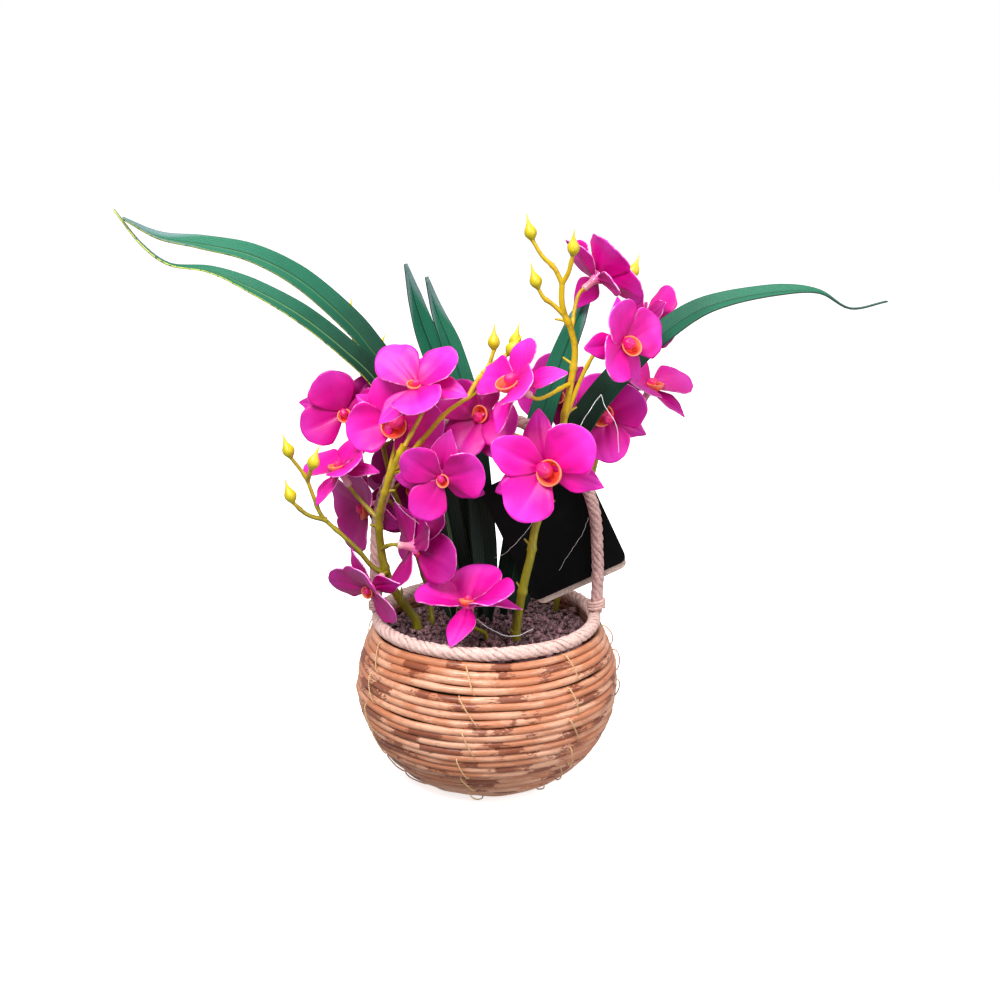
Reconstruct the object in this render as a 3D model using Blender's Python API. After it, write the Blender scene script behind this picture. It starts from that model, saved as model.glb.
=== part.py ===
"""Artificial orchid arrangement in a round rattan basket with a rope handle.

Frame: metres, +Z up, +X to the right, the front of the basket towards -Y. The origin is the centre of
the basket's underside. Point lists are in millimetres and are scaled by MM where they are used.
"""

import math

import bmesh
import bpy
from mathutils import Matrix, Vector
from mathutils.noise import noise

MM = 0.001
GAP = 0.35  # clearance between neighbouring pieces, mm

# ---- driving dimensions, mm -------------------------------------------------------------------------
BASKET_OUTLINE = ((2.0, 36.0), (8.0, 46.0), (16.0, 54.5), (26.0, 62.0), (38.0, 67.5), (52.0, 70.0),
                  (66.0, 68.5), (77.0, 65.0), (86.2, 60.8))  # height and outer radius
WALL = 4.1  # one strand thick
BANDS = 6
STRANDS_PER_BAND = 4
STRAND_GROOVE = 0.9
ROUND_SIDES = 24
BASE_OUTLINE = ((0.0, 31.5), (1.2, 32.9), (4.6, 32.9))
RIM_RADIUS = 57.5
RIM_CORD = 3.2
RIM_HEIGHT = 90.0
CORD_SIDES = 8
HANDLE_CORD = 3.0
HANDLE_HALF_SPAN = 58.0
HANDLE_SHOULDER = 132.0
HANDLE_TOP = 199.0
HANDLE_STEPS = 16
HANDLE_SPLAY = 0.8  # how far each leg leans out ...
HANDLE_SPLAY_RISE = 18.0  # ... this far above its foot
BINDING = 1.3  # thickness of the cord sleeve round each foot of the handle
BINDING_HEIGHT = 5.5
BINDING_CLEARANCE = 0.5
BINDING_SHIFT = 0.1
BINDING_SIDES = 12
FOAM_OUTLINE = ((5.1, 31.0), (24.0, 55.0), (69.6, 55.0))
SOIL_LOW = 70.0
SOIL_TOP = 84.0
SOIL_OUTLINE = ((SOIL_LOW, 53.4), (82.0, 53.4), (SOIL_TOP, 49.4), (SOIL_TOP, 35.2), (SOIL_TOP, 17.6))
SOIL_UNEVENNESS = 1.4
SOIL_WAVINESS = 0.09  # waves per mm
STEM_SEAT = 52.0  # how deep the flower stems go into the foam
LEAF_SEAT = 70.8  # the leaf stalks stop on the foam
SEAT_SIDES = 8
SEAT_BELOW = 0.6  # free depth of a hole under its stalk
SEAT_ABOVE = 8.0  # how far a hole's cutter stands over the soil
SEAT_MARGIN = 10.0  # a stalk that ends higher above a layer's foot than this needs no hole in it
STEM_HOLE_CLEARANCE = 0.5
LEAF_HOLE_RADIUS = 2.9

STITCH_COLUMNS = (-110.0, -60.0, -9.0, 42.0, 94.0, 145.0, 197.0)  # degrees from the front, to the right
YARN_RADIUS = 0.45
YARN_STANDOFF = 0.7
YARN_SWAY = 1.6  # degrees to either side of its column
YARN_SIDES = 5

PETAL_LENGTH = 28.0
PETAL_HALF_WIDTH = 13.0
SEPAL_LENGTH = 29.0
SEPAL_HALF_WIDTH = 7.0
PETAL_THICKNESS = 0.8
HUB_RADIUS = 2.4
HUB_SIDES = 6
HUB_TURN = 30.0  # degrees
CALYX_LENGTH = 10.5
CALYX_RADIUS = 1.9
PEDICEL_RADIUS = 1.0
STALK_PLUG = 2.0  # straight end of a stalk, in line with its flower
STALK_TURN = 16.0  # longest straight run-in of a stalk behind its flower
STALK_LEAVE, STALK_RISE, STALK_ARRIVE = 0.2, 0.05, 0.22  # curve of a stalk, as parts of its length
STALK_SPACING = 11.0
STALK_FLARE = 0.2  # how much thicker a stalk starts
STEM_SPACING = 14.0
TWIG_SIDES = 5
STEM_SIDES = 6

# Height and radius of the rings up a flower's middle: calyx tube, hub, column.
FLOWER_RINGS = ((-CALYX_LENGTH, CALYX_RADIUS), (-1.8, HUB_RADIUS), (-0.8, HUB_RADIUS), (0.6, HUB_RADIUS),
                (1.5, HUB_RADIUS), (2.6, HUB_RADIUS), (5.6, 3.4), (7.6, 2.0))
LIP_ROOT, PETAL_ROOT, SEPAL_ROOT = 2.05, 1.05, -1.3  # heights on the hub
LIP_SIDE = 240.0
HALF_HUB_SIDE = 0.8
CREASE_LEVEL = 0.1  # edges flatter than this are the upper and lower edge of a petal

# Reach, half width, lift and edge curl of a petal's cross sections, as parts of its length and width.
PETAL_SECTIONS = ((0.24, 0.52, 0.08, 0.05), (0.52, 1.00, 0.18, 0.22), (0.80, 0.86, 0.26, 0.24),
                  (1.00, 0.34, 0.28, 0.06))
SEPAL_SECTIONS = ((0.30, 0.80, -0.03, 0.0), (0.66, 1.00, -0.11, 0.0), (1.00, 0.18, -0.26, 0.0))
LIP_SECTIONS = ((0.55, 0.70, 0.10, 0.0), (1.00, 1.00, 0.55, 0.0))
LIP_LENGTH = 9.0
LIP_HALF_WIDTH = 5.0

# Direction of each petal round the hub, in degrees, where the lip is usually at 270.
BIG_PETALS = (350.0, 100.0, 190.0)
BIG_PETAL_SIDES = (0.0, 120.0, 180.0)
SEPALS = (285.0, 45.0, 150.0)
SEPAL_SIDES = (300.0, 60.0, 120.0)

# Flowers: hub in mm, then in degrees the yaw from the front to the right, the pitch upwards, the roll,
# the direction of the lip round the hub, and last the size against the largest flower.
FLOWERS = {
    "flower_right_front": ((30, -42, 182), -8, 5, 57, 270, 1.0),
    "flower_centre_top": ((15, -36, 223), -62, 38, 0, 240, 0.9),
    "flower_right_upper": ((68, -24, 241), 46, 10, 24, 290, 0.87),
    "flower_right_top": ((57, 12, 269), 125, 30, 30, 270, 0.9),
    "flower_right_back_top": ((84, 32, 244), 120, -20, 0, 270, 0.7),
    "flower_right_back": ((88, 42, 205), 50, 60, 0, 270, 0.85),
    "flower_right_low": ((63, 27, 193), -2, 4, -75, 230, 0.85),
    "flower_right_behind": ((37, 47, 200), 10, 20, 0, 270, 0.8),
    "flower_left_top": ((-34, -31, 221), -25, 50, -45, 270, 0.9),
    "flower_left_front": ((-45, -12, 199), -5, 5, 5, 225, 0.9),
    "flower_left_outer": ((-74, 8, 199), 0, 5, 15, 270, 0.85),
    "flower_left_side": ((-75, -13, 174), -60, 62, 0, 270, 0.75),
    "flower_middle_low": ((-22, -40, 177), -5, -8, 40, 270, 0.85),
    "flower_middle_top": ((-3, -18, 202), -20, 28, 150, 270, 0.8),
    "flower_middle_back": ((-28, 40, 192), 0, 20, -35, 270, 0.8),
    "flower_low_left": ((-64, 14, 146), -55, -10, 60, 270, 0.9),
    "flower_low_middle": ((-37, -18, 134), 120, -15, 0, 270, 0.95),
    "flower_low_back": ((-40, 40, 150), -10, 10, 30, 270, 1.0),
    "flower_rim_left": ((-60, -22, 113), -45, -30, -30, 270, 0.8),
    "flower_front": ((-9, -33, 108), -35, 78, 0, 270, 0.95),
}


# ---- general helpers --------------------------------------------------------------------------------
def clear_scene():
    """Remove everything that the new file starts with."""
    for thing in list(bpy.data.objects):
        bpy.data.objects.remove(thing)


def material(name, colour, roughness):
    """One painted or moulded finish."""
    finish = bpy.data.materials.new(name)
    finish.use_nodes = True
    shader = finish.node_tree.nodes["Principled BSDF"]
    shader.inputs["Base Color"].default_value = (*colour, 1.0)
    shader.inputs["Roughness"].default_value = roughness
    shader.inputs["Metallic"].default_value = 0.0
    return finish


def add_object(name, bm, finish, smooth_angle=40.0):
    """Turn a bmesh in millimetres into a named object in metres, shaded smooth."""
    bmesh.ops.recalc_face_normals(bm, faces=bm.faces)
    bmesh.ops.scale(bm, vec=(MM, MM, MM), verts=bm.verts)
    mesh = bpy.data.meshes.new(name)
    bm.to_mesh(mesh)
    bm.free()
    mesh.shade_smooth()
    mesh.set_sharp_from_angle(angle=math.radians(smooth_angle))
    mesh.materials.append(finish)
    thing = bpy.data.objects.new(name, mesh)
    bpy.context.scene.collection.objects.link(thing)
    return thing


def add_cutter(name, bm):
    """A shape that only cuts or joins others: it is never shown."""
    thing = add_object(name, bm, None)
    thing.hide_render = True
    thing.display_type = "WIRE"
    return thing


def combine(thing, operation, operands):
    """A live Boolean of one object with a group of hidden ones."""
    group = bpy.data.collections.new(thing.name + "_" + operation.lower())
    for operand in operands:
        group.objects.link(operand)
    step = thing.modifiers.new(operation.lower(), "BOOLEAN")
    step.operation = operation
    step.solver = "EXACT"
    step.operand_type = "COLLECTION"
    step.collection = group


def loft(sections):
    """A closed skin through cross sections that all have the same number of points."""
    bm = bmesh.new()
    face = bm.faces.new([bm.verts.new(point) for point in sections[0]])
    first = list(face.verts)
    for section in sections[1:]:
        face = bmesh.ops.extrude_discrete_faces(bm, faces=[face])["faces"][0]
        for vert, point in zip(face.verts, section):
            vert.co = point
    bm.faces.new(reversed(first))
    return bm


def spin_profile(profile, sides):
    """Turn a closed outline of (radius, height) points once round the Z axis."""
    bm = bmesh.new()
    outline = [bm.verts.new((radius, 0.0, height)) for radius, height in profile]
    edges = [bm.edges.new(pair) for pair in zip(outline, outline[1:] + outline[:1])]
    bmesh.ops.spin(bm, geom=outline + edges, cent=(0, 0, 0), axis=(0, 0, 1), angle=math.tau,
                   steps=sides, use_merge=True)
    return bm


def turned(profile, sides):
    """A solid of revolution: (height, radius) rings from the bottom to the top, with flat ends."""
    return loft([ring(Vector((0, 0, height)), Matrix.Identity(3), radius, sides)
                 for height, radius in profile])


def ring(centre, axes, radius, sides):
    """A regular polygon in the X-Y plane of the given axes."""
    turn = math.tau / sides
    return [centre + axes @ Vector((radius * math.cos(i * turn), radius * math.sin(i * turn), 0.0))
            for i in range(sides)]


def smooth_path(points, spacing):
    """Points about every `spacing` mm on a Catmull-Rom curve through the given ones."""
    points = [Vector(point) for point in points]
    padded = [2 * points[0] - points[1]] + points + [2 * points[-1] - points[-2]]
    route = [points[0]]
    for before, start, end, after in zip(padded, padded[1:], padded[2:], padded[3:]):
        steps = max(1, round((end - start).length / spacing))
        for i in range(1, steps + 1):
            t = i / steps
            route.append(0.5 * (2 * start + (end - before) * t
                                + (2 * before - 5 * start + 4 * end - after) * t * t
                                + (3 * start - before - 3 * end + after) * t ** 3))
    return route


def directions(route):
    """The unit direction of travel at every point of a route."""
    ends = [route[0]] + route + [route[-1]]
    return [(after - before).normalized() for before, after in zip(ends, ends[2:])]


def tube(route, start_radius, end_radius, sides):
    """A round, tapering rod along a route, without twist."""
    sections = []
    axes = directions(route)[0].to_track_quat("Z", "Y")
    for i, (point, along) in enumerate(zip(route, directions(route))):
        axes = (axes @ Vector((0, 0, 1))).rotation_difference(along) @ axes
        radius = start_radius + (end_radius - start_radius) * i / (len(route) - 1)
        sections.append(ring(point, axes.to_matrix(), radius, sides))
    return loft(sections)


# ---- basket -----------------------------------------------------------------------------------------
def wall_point(distance):
    """The point and outward normal at a distance along the basket's outline, from its foot."""
    points = [Vector((radius, height)) for height, radius in BASKET_OUTLINE]
    for start, end in zip(points, points[1:]):
        length = (end - start).length
        if distance <= length or end is points[-1]:
            along = (end - start) / length
            return start + along * distance, Vector((along.y, -along.x))
        distance -= length


def wall_length():
    """Length of the basket's outline from foot to top."""
    points = [Vector((radius, height)) for height, radius in BASKET_OUTLINE]
    return sum((end - start).length for start, end in zip(points, points[1:]))


def make_bands(finish):
    """Six rings of four strands each, one on the other from the foot to the rim."""
    height = wall_length() / BANDS
    pitch = (height - GAP) / STRANDS_PER_BAND
    for band in range(BANDS):
        foot = band * height + GAP / 2
        outline = []
        for i in range(2 * STRANDS_PER_BAND + 1):
            point, normal = wall_point(foot + i * pitch / 2)
            outline.append(point - normal * (STRAND_GROOVE if i % 2 == 0 else 0.0))
        for distance in (foot + height - GAP, foot):
            point, normal = wall_point(distance)
            outline.append(point - normal * WALL)
        add_object(f"strand_band_{band + 1}", spin_profile([tuple(p) for p in outline], ROUND_SIDES),
                   finish)


def make_base(finish):
    """The coiled disc that closes the bottom and carries the basket."""
    add_object("base_disc", turned(BASE_OUTLINE, ROUND_SIDES), finish)


def make_rim(finish):
    """The wrapped cord that finishes the mouth of the basket."""
    profile = [(RIM_RADIUS + RIM_CORD * math.cos(a), RIM_HEIGHT + RIM_CORD * math.sin(a))
               for a in (math.tau * i / CORD_SIDES for i in range(CORD_SIDES))]
    add_object("rim_cord", spin_profile(profile, ROUND_SIDES), finish)


def make_handle(finish):
    """The wrapped cord that arches from side to side and stands on the rim at both ends."""
    foot = RIM_HEIGHT + RIM_CORD + GAP
    rise = HANDLE_TOP - HANDLE_SHOULDER
    turns = [math.pi * i / HANDLE_STEPS for i in range(HANDLE_STEPS + 1)]
    arch = [(-HANDLE_HALF_SPAN * math.cos(turn), 0.0, HANDLE_SHOULDER + rise * math.sin(turn))
            for turn in turns]
    legs = [(-HANDLE_HALF_SPAN, 0.0, foot),
            (-HANDLE_HALF_SPAN - HANDLE_SPLAY, 0.0, foot + HANDLE_SPLAY_RISE)]
    route = [Vector(p) for p in legs + arch + [(-x, y, z) for x, y, z in reversed(legs)]]
    add_object("handle_cord", tube(route, HANDLE_CORD, HANDLE_CORD, CORD_SIDES), finish)


def make_bindings(finish):
    """A sleeve of cord round each foot of the handle."""
    bore = HANDLE_CORD + BINDING_CLEARANCE
    low = RIM_HEIGHT + RIM_CORD + GAP
    offset = HANDLE_HALF_SPAN + BINDING_SHIFT
    for side, x in (("left", -offset), ("right", offset)):
        bm = spin_profile(((bore, low), (bore + BINDING, low), (bore + BINDING, low + BINDING_HEIGHT),
                           (bore, low + BINDING_HEIGHT)), BINDING_SIDES)
        bmesh.ops.translate(bm, vec=(x, 0, 0), verts=bm.verts)
        add_object(f"handle_binding_{side}", bm, finish)


def make_stitches(finish):
    """Seven lashings of yarn that run down the outside and hold the strands together."""
    length = wall_length()
    for number, degrees in enumerate(STITCH_COLUMNS, 1):
        route = []
        for i in range(2 * BANDS):
            point, normal = wall_point(length * (i + 0.5) / (2 * BANDS))
            radius, height = point + normal * (YARN_RADIUS + YARN_STANDOFF)
            angle = math.radians(degrees - 90.0 + (YARN_SWAY if i % 2 else -YARN_SWAY))
            route.append(Vector((radius * math.cos(angle), radius * math.sin(angle), height)))
        add_object(f"stitch_{number}", tube(route, YARN_RADIUS, YARN_RADIUS, YARN_SIDES), finish)


# ---- filling ----------------------------------------------------------------------------------------
def seat_cutters(name, low):
    """Upright holes for every stem and leaf stalk that reaches down to the given height."""
    cutters = []
    for number, ((x, y), radius, seat) in enumerate(SEATS):
        if seat > low + SEAT_MARGIN:
            continue
        bm = bmesh.new()
        floor = seat - SEAT_BELOW
        depth = SOIL_TOP + SEAT_ABOVE - floor
        bmesh.ops.create_cone(bm, cap_ends=True, segments=SEAT_SIDES, radius1=radius, radius2=radius,
                              depth=depth)
        bmesh.ops.translate(bm, vec=(x, y, floor + depth / 2), verts=bm.verts)
        cutters.append(add_cutter(f"{name}_seat_{number}", bm))
    return cutters


def make_foam(finish):
    """The hard foam plug that the stems are pushed into."""
    foam = add_object("foam_block", turned(FOAM_OUTLINE, ROUND_SIDES), finish)
    combine(foam, "DIFFERENCE", seat_cutters("foam", STEM_SEAT))


def make_soil(finish):
    """The bed of brown granules glued on the foam, with a low, uneven top."""
    bm = turned(SOIL_OUTLINE, ROUND_SIDES)
    for vert in bm.verts:
        if vert.co.z == SOIL_TOP:
            vert.co.z += SOIL_UNEVENNESS * noise(vert.co * SOIL_WAVINESS)
    bmesh.ops.triangulate(bm, faces=[face for face in bm.faces if len(face.verts) == 4])
    soil = add_object("soil_layer", bm, finish)
    combine(soil, "DIFFERENCE", seat_cutters("soil", SOIL_LOW))


# ---- flowers ----------------------------------------------------------------------------------------
def flower_axes(yaw, pitch, roll):
    """Axes of a flower: Z out of its face, and its lip at -Y before the roll."""
    yaw, pitch = math.radians(yaw), math.radians(pitch)
    face = Vector((math.sin(yaw) * math.cos(pitch), -math.cos(yaw) * math.cos(pitch), math.sin(pitch)))
    side = Vector((0, 0, 1)).cross(face).normalized()
    upright = Matrix((side, face.cross(side), face)).transposed()
    return upright @ Matrix.Rotation(math.radians(roll), 3, "Z")


def nearest_face(bm, angle, height):
    """The side face of the hub that looks in a direction, at a height."""
    target = Vector((HUB_RADIUS * math.cos(angle), HUB_RADIUS * math.sin(angle), height))
    return min(bm.faces, key=lambda face: (face.calc_center_median() - target).length)


def split_across(bm, face):
    """Put a point in the middle of the face's upper and lower edge, to give a petal its crease."""
    for edge in list(face.edges):
        if abs(edge.verts[0].co.z - edge.verts[1].co.z) < CREASE_LEVEL:
            bmesh.utils.edge_split(edge, edge.verts[0], 0.5)


def grow_petal(bm, face, degrees, length, half_width, sections):
    """Pull one side face of the hub out into a petal."""
    middle = face.calc_center_median()
    across_face = Vector((-middle.y, middle.x, 0.0)).normalized()
    corners = [(round((vert.co - middle).dot(across_face) / HALF_HUB_SIDE), 1 if vert.co.z > middle.z else -1)
               for vert in face.verts]
    corners = [((side > 0) - (side < 0), level) for side, level in corners]
    angle = math.radians(degrees)
    out = Vector((math.cos(angle), math.sin(angle), 0.0))
    across = Vector((-out.y, out.x, 0.0))
    for reach, width, lift, curl in sections:
        face = bmesh.ops.extrude_discrete_faces(bm, faces=[face])["faces"][0]
        for vert, (side, level) in zip(face.verts, corners):
            rise = middle.z + lift * length + abs(side) * curl * half_width
            vert.co = (out * reach * length + across * side * width * half_width
                       + Vector((0, 0, rise + level * PETAL_THICKNESS / 2)))


def make_flower(name, finish):
    """A moulded flower: three broad petals, three sepals behind them, lip, column and calyx tube."""
    hub, yaw, pitch, roll, lip_way, size = FLOWERS[name]
    turn = Matrix.Rotation(math.radians(HUB_TURN), 3, "Z")
    bm = loft([ring(Vector((0, 0, height)), turn, radius, HUB_SIDES) for height, radius in FLOWER_RINGS])
    lip = nearest_face(bm, math.radians(LIP_SIDE), LIP_ROOT)
    broad = [nearest_face(bm, math.radians(side), PETAL_ROOT) for side in BIG_PETAL_SIDES]
    narrow = [nearest_face(bm, math.radians(side), SEPAL_ROOT) for side in SEPAL_SIDES]
    grow_petal(bm, lip, lip_way, LIP_LENGTH, LIP_HALF_WIDTH, LIP_SECTIONS)
    for face, degrees in zip(broad, BIG_PETALS):
        split_across(bm, face)
        grow_petal(bm, face, degrees, size * PETAL_LENGTH, size * PETAL_HALF_WIDTH, PETAL_SECTIONS)
    for face, degrees in zip(narrow, SEPALS):
        grow_petal(bm, face, degrees, size * SEPAL_LENGTH, size * SEPAL_HALF_WIDTH, SEPAL_SECTIONS)
    place = Matrix.Translation(hub) @ flower_axes(yaw, pitch, roll).to_4x4()
    bmesh.ops.transform(bm, matrix=place, verts=bm.verts)
    add_object(name, bm, finish)


# ---- stems ------------------------------------------------------------------------------------------
STEMS = {
    "stem_left": {
        "radii": (2.9, 1.9),
        "route": ((-37, -3, STEM_SEAT), (-37, -3, 86), (-41, -4, 94), (-48, -8, 106), (-53, -12, 121),
                  (-55, -15, 136), (-55, -20, 150), (-52, -26, 163), (-47, -31, 178), (-41, -33, 192)),
        "twigs": (
            ((-47, -31, 178), (-38, -31, 187), (-29, -30, 197), (-20, -28, 207), (-9, -24, 214),
             (-2, -16, 217), (2, -12, 219)),
            ((-9, -24, 214), (-5, -20, 221), (1, -14, 228), (4, -12, 236)),
            ((-2, -17, 225), (5, -14, 230), (11, -14, 234)),
            ((8, -14, 232), (14, -8, 236)),
            ((-52, -11, 117), (-59, -15, 122), (-66, -18, 132), (-74, -20, 141), (-84, -20, 151),
             (-88, -20, 161), (-92, -20, 172), (-99, -20, 182)),
            ((-91, -20, 170), (-88, -28, 178)),
            ((-82, -20, 149), (-91, -24, 153), (-98, -26, 160)),
        ),
        "buds": ((2, -12, 219, 1, 1, 3), (4, -12, 236, 0, 0, 1), (11, -14, 234, 2, -1, 3),
                 (14, -8, 236, 1, 2, 5), (-99, -20, 182, -1, 0, 3), (-88, -28, 178, 1, 0, 3),
                 (-98, -26, 160, -1, 0, 3)),
        "flowers": {
            "flower_left_top": (-41, -33, 190), "flower_left_front": (-52, -26, 164),
            "flower_left_side": (-55, -19, 148), "flower_middle_low": (-47, -31, 177),
            "flower_low_middle": (-55, -14, 131),
            "flower_rim_left": (-50, -9, 110),
        },
    },
    "stem_left_back": {
        "radii": (1.9, 1.3),
        "route": ((-30, 6, STEM_SEAT), (-30, 6, 84), (-31, 9, 98), (-35, 12, 112), (-42, 17, 133),
                  (-50, 22, 154), (-55, 25, 175), (-59, 26, 194), (-63, 27, 208)),
        "twigs": (
            ((-63, 27, 208), (-66, 27, 216), (-69, 27, 222)),
            ((-63, 27, 208), (-61, 28, 216), (-58, 28, 224)),
            ((-67, 27, 218), (-69, 28, 230), (-71, 28, 242)),
            ((-60, 26, 197), (-53, 28, 205), (-47, 30, 211)),
        ),
        "buds": ((-69, 27, 222, -2, 0, 3), (-58, 28, 224, 1, 0, 3), (-71, 28, 242, 0, 0, 1),
                 (-47, 30, 211, 1, 0, 1)),
        "flowers": {"flower_middle_back": (-57, 25, 186), "flower_low_left": (-40, 16, 128),
                    "flower_low_back": (-31, 9, 98), "flower_left_outer": (-56, 25, 180)},
    },
    "stem_right": {
        "radii": (2.9, 1.7),
        "route": ((15, -20, STEM_SEAT), (15, -20, 84), (17, -19, 100), (20, -20, 117), (23, -20, 130),
                  (25, -18, 143), (30, -15, 158), (34, -13, 172), (38, -12, 187), (40, -11, 202),
                  (43, -10, 218), (45, -9, 234), (43, -8, 245), (40, -8, 252), (38, -9, 260),
                  (38, -10, 269)),
        "twigs": (
            ((38, -10, 269), (34, -11, 277), (28, -12, 283), (23, -12, 291)),
            ((38, -10, 269), (41, -13, 275), (43, -16, 284)),
            ((40, -8, 252), (34, -9, 258), (29, -11, 262), (26, -12, 267)),
        ),
        "buds": ((23, -12, 291, -1, 0, 4), (43, -16, 284, 0, -1, 4), (26, -12, 267, -1, 0, 3)),
        "flowers": {
            "flower_right_front": (38, -12, 187), "flower_centre_top": (43, -10, 218),
            "flower_middle_top": (37, -12, 183),
            "flower_right_upper": (40, -11, 200), "flower_right_top": (43, -8, 245),
        },
    },
    "stem_right_back": {
        "radii": (1.9, 1.3),
        "route": ((38, 30, STEM_SEAT), (38, 30, 86), (44, 33, 104), (50, 37, 124), (57, 42, 154),
                  (64, 47, 183), (69, 50, 202), (72, 52, 224), (75, 52, 245), (77, 51, 263)),
        "twigs": (),
        "buds": ((77, 51, 263, 1, 0, 3),),
        "flowers": {"flower_right_back_top": (73, 52, 230), "flower_right_back": (62, 46, 178),
                    "flower_right_low": (53, 39, 139), "flower_right_behind": (60, 44, 168)},
    },
    "stem_front": {
        "radii": (1.4, 1.2),
        "route": ((0, -22, STEM_SEAT), (0, -22, 84), (-1, -24, 90)),
        "twigs": (),
        "buds": (),
        "flowers": {"flower_front": (-1, -24, 89)},
    },
}
BUD_RINGS = ((-0.5, 1.0), (1.0, 2.0), (3.5, 3.2), (6.0, 2.6), (8.6, 1.0), (13.5, 0.25))
TWIG_RADII = (1.35, 0.95)


def flower_tail(name):
    """Where the stalk of a flower ends, just short of its calyx tube, and the way the flower faces."""
    hub, yaw, pitch, roll, *_ = FLOWERS[name]
    face = flower_axes(yaw, pitch, roll) @ Vector((0, 0, 1))
    return Vector(hub) - face * (CALYX_LENGTH + 2 * GAP), face


def stalk_route(start, name):
    """A curved stalk from the stem to the back of a flower."""
    tail, face = flower_tail(name)
    end = tail - face * STALK_PLUG
    start = Vector(start)
    reach = (end - start).length
    leave = start + (end - start) * STALK_LEAVE + Vector((0, 0, STALK_RISE * reach))
    arrive = end - face * min(STALK_ARRIVE * reach, STALK_TURN)
    steps = max(3, round((end - start).length / STALK_SPACING))
    route = []
    for i in range(steps + 1):
        t = i / steps
        route.append((1 - t) ** 3 * start + 3 * (1 - t) ** 2 * t * leave
                     + 3 * (1 - t) * t * t * arrive + t ** 3 * end)
    return route + [tail]


def bud(x, y, z, lean_x, lean_y, lean_z):
    """A pointed drop on the end of a twig, leaning in the given direction."""
    axes = Vector((lean_x, lean_y, lean_z)).to_track_quat("Z", "Y").to_matrix()
    foot = Vector((x, y, z))
    return loft([ring(foot + axes @ Vector((0, 0, height)), axes, radius, HUB_SIDES)
                 for height, radius in BUD_RINGS])


def make_stem(name, finish):
    """A moulded stem with its twigs, buds and flower stalks in one piece."""
    plan = STEMS[name]
    branches = [tube(smooth_path(twig, STALK_SPACING), *TWIG_RADII, TWIG_SIDES)
                for twig in plan["twigs"]]
    branches += [bud(*place) for place in plan["buds"]]
    foot_radius = PEDICEL_RADIUS + STALK_FLARE
    branches += [tube(stalk_route(start, flower), foot_radius, PEDICEL_RADIUS, TWIG_SIDES)
                 for flower, start in plan["flowers"].items()]
    stem = add_object(name, tube(smooth_path(plan["route"], STEM_SPACING), *plan["radii"], STEM_SIDES),
                      finish)
    combine(stem, "UNION", [add_cutter(f"{name}_branch_{i}", bm) for i, bm in enumerate(branches)])


# ---- leaves -----------------------------------------------------------------------------------------
# Route of the midrib in mm with the blade's width and its turn about the midrib in degrees.
LEAVES = {
    "leaf_left_upper": (
        (-10, 16, LEAF_SEAT, 4, 0), (-10, 16, 86, 4, 0), (-12, 16, 98, 12, 0), (-17, 16, 122, 14, 8),
        (-23, 17, 151, 14, 15), (-35, 18, 188, 14, 30), (-48, 17, 214, 14, 45), (-60, 15, 232, 14, 45),
        (-72, 13, 247, 14, 45), (-95, 10, 268, 14, 50), (-119, 7, 281, 13, 55), (-143, 3, 287, 11, 60),
        (-163, -2, 291, 8, 70), (-180, -8, 301, 3, 80)),
    "leaf_left_lower": (
        (-19, 9, LEAF_SEAT, 4, 0), (-19, 9, 86, 4, 0), (-21, 9, 98, 11, 0), (-25, 9, 122, 13, 8),
        (-31, 9, 151, 13, 15), (-43, 9, 190, 12, 30), (-56, 5, 216, 12, 45), (-72, -1, 234, 12, 45),
        (-94, -6, 253, 12, 50), (-118, -8, 267, 11, 60), (-138, -8, 275, 8, 75), (-158, -8, 278, 5, 90),
        (-172, -6, 288, 4, 90), (-185, -4, 305, 2, 90)),
    "leaf_back_left": (
        (-3, 21, LEAF_SEAT, 4, 0), (-3, 21, 86, 4, 0), (-4, 21, 98, 12, 0), (-8, 22, 138, 14, 8),
        (-15, 23, 181, 14, 12), (-24, 24, 216, 14, 20), (-33, 25, 240, 12, 30), (-38, 25, 257, 9, 40),
        (-42, 25, 274, 2, 45)),
    "leaf_back_middle": (
        (1, 12, LEAF_SEAT, 4, 0), (1, 12, 86, 4, 0), (0, 12, 98, 12, 0), (-2, 14, 127, 14, 5),
        (-6, 17, 176, 13, 10), (-11, 19, 205, 13, 20), (-19, 20, 232, 12, 35), (-26, 20, 250, 8, 40),
        (-31, 20, 268, 2, 45)),
    "leaf_right": (
        (16, 11, LEAF_SEAT, 4, 0), (16, 11, 86, 4, 0), (18, 12, 98, 12, 0), (27, 16, 135, 14, -10),
        (40, 18, 172, 15, -25), (54, 14, 198, 16, -40), (69, 10, 218, 16, -45), (84, 6, 235, 16, -50),
        (104, 3, 251, 14, -55), (123, 0, 259, 12, -60), (148, -4, 264, 10, -70), (167, -8, 264, 6, -80),
        (183, -8, 256, 3, -90), (202, -4, 259, 2, -90)),
    "leaf_right_back": (
        (9, 21, LEAF_SEAT, 4, 0), (9, 21, 86, 4, 0), (10, 22, 98, 11, 0), (19, 26, 148, 13, -8),
        (29, 30, 191, 14, -15), (40, 32, 223, 13, -20), (48, 33, 244, 10, -25), (55, 34, 259, 2, -30)),
}
LEAF_THICKNESS = 0.9
LEAF_FOLD = 0.28  # depth of the V against half the width


def make_leaf(name, finish):
    """A long strap leaf, folded along its midrib, with a narrow stalk set in the soil."""
    plan = LEAVES[name]
    route = [Vector(point[:3]) for point in plan]
    sections = []
    for point, along, (*_, width, turn) in zip(route, directions(route), plan):
        front = Vector((0, -1, 0))
        across = along.cross(front).normalized()
        across = Matrix.Rotation(math.radians(turn), 3, along) @ across
        normal = across.cross(along)
        half = width / 2
        fold = normal * half * LEAF_FOLD
        thick = normal * LEAF_THICKNESS / 2
        sections.append([point - across * half + fold + thick, point + thick,
                         point + across * half + fold + thick, point + across * half + fold - thick,
                         point - thick, point - across * half + fold - thick])
    add_object(name, loft(sections), finish)


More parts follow.
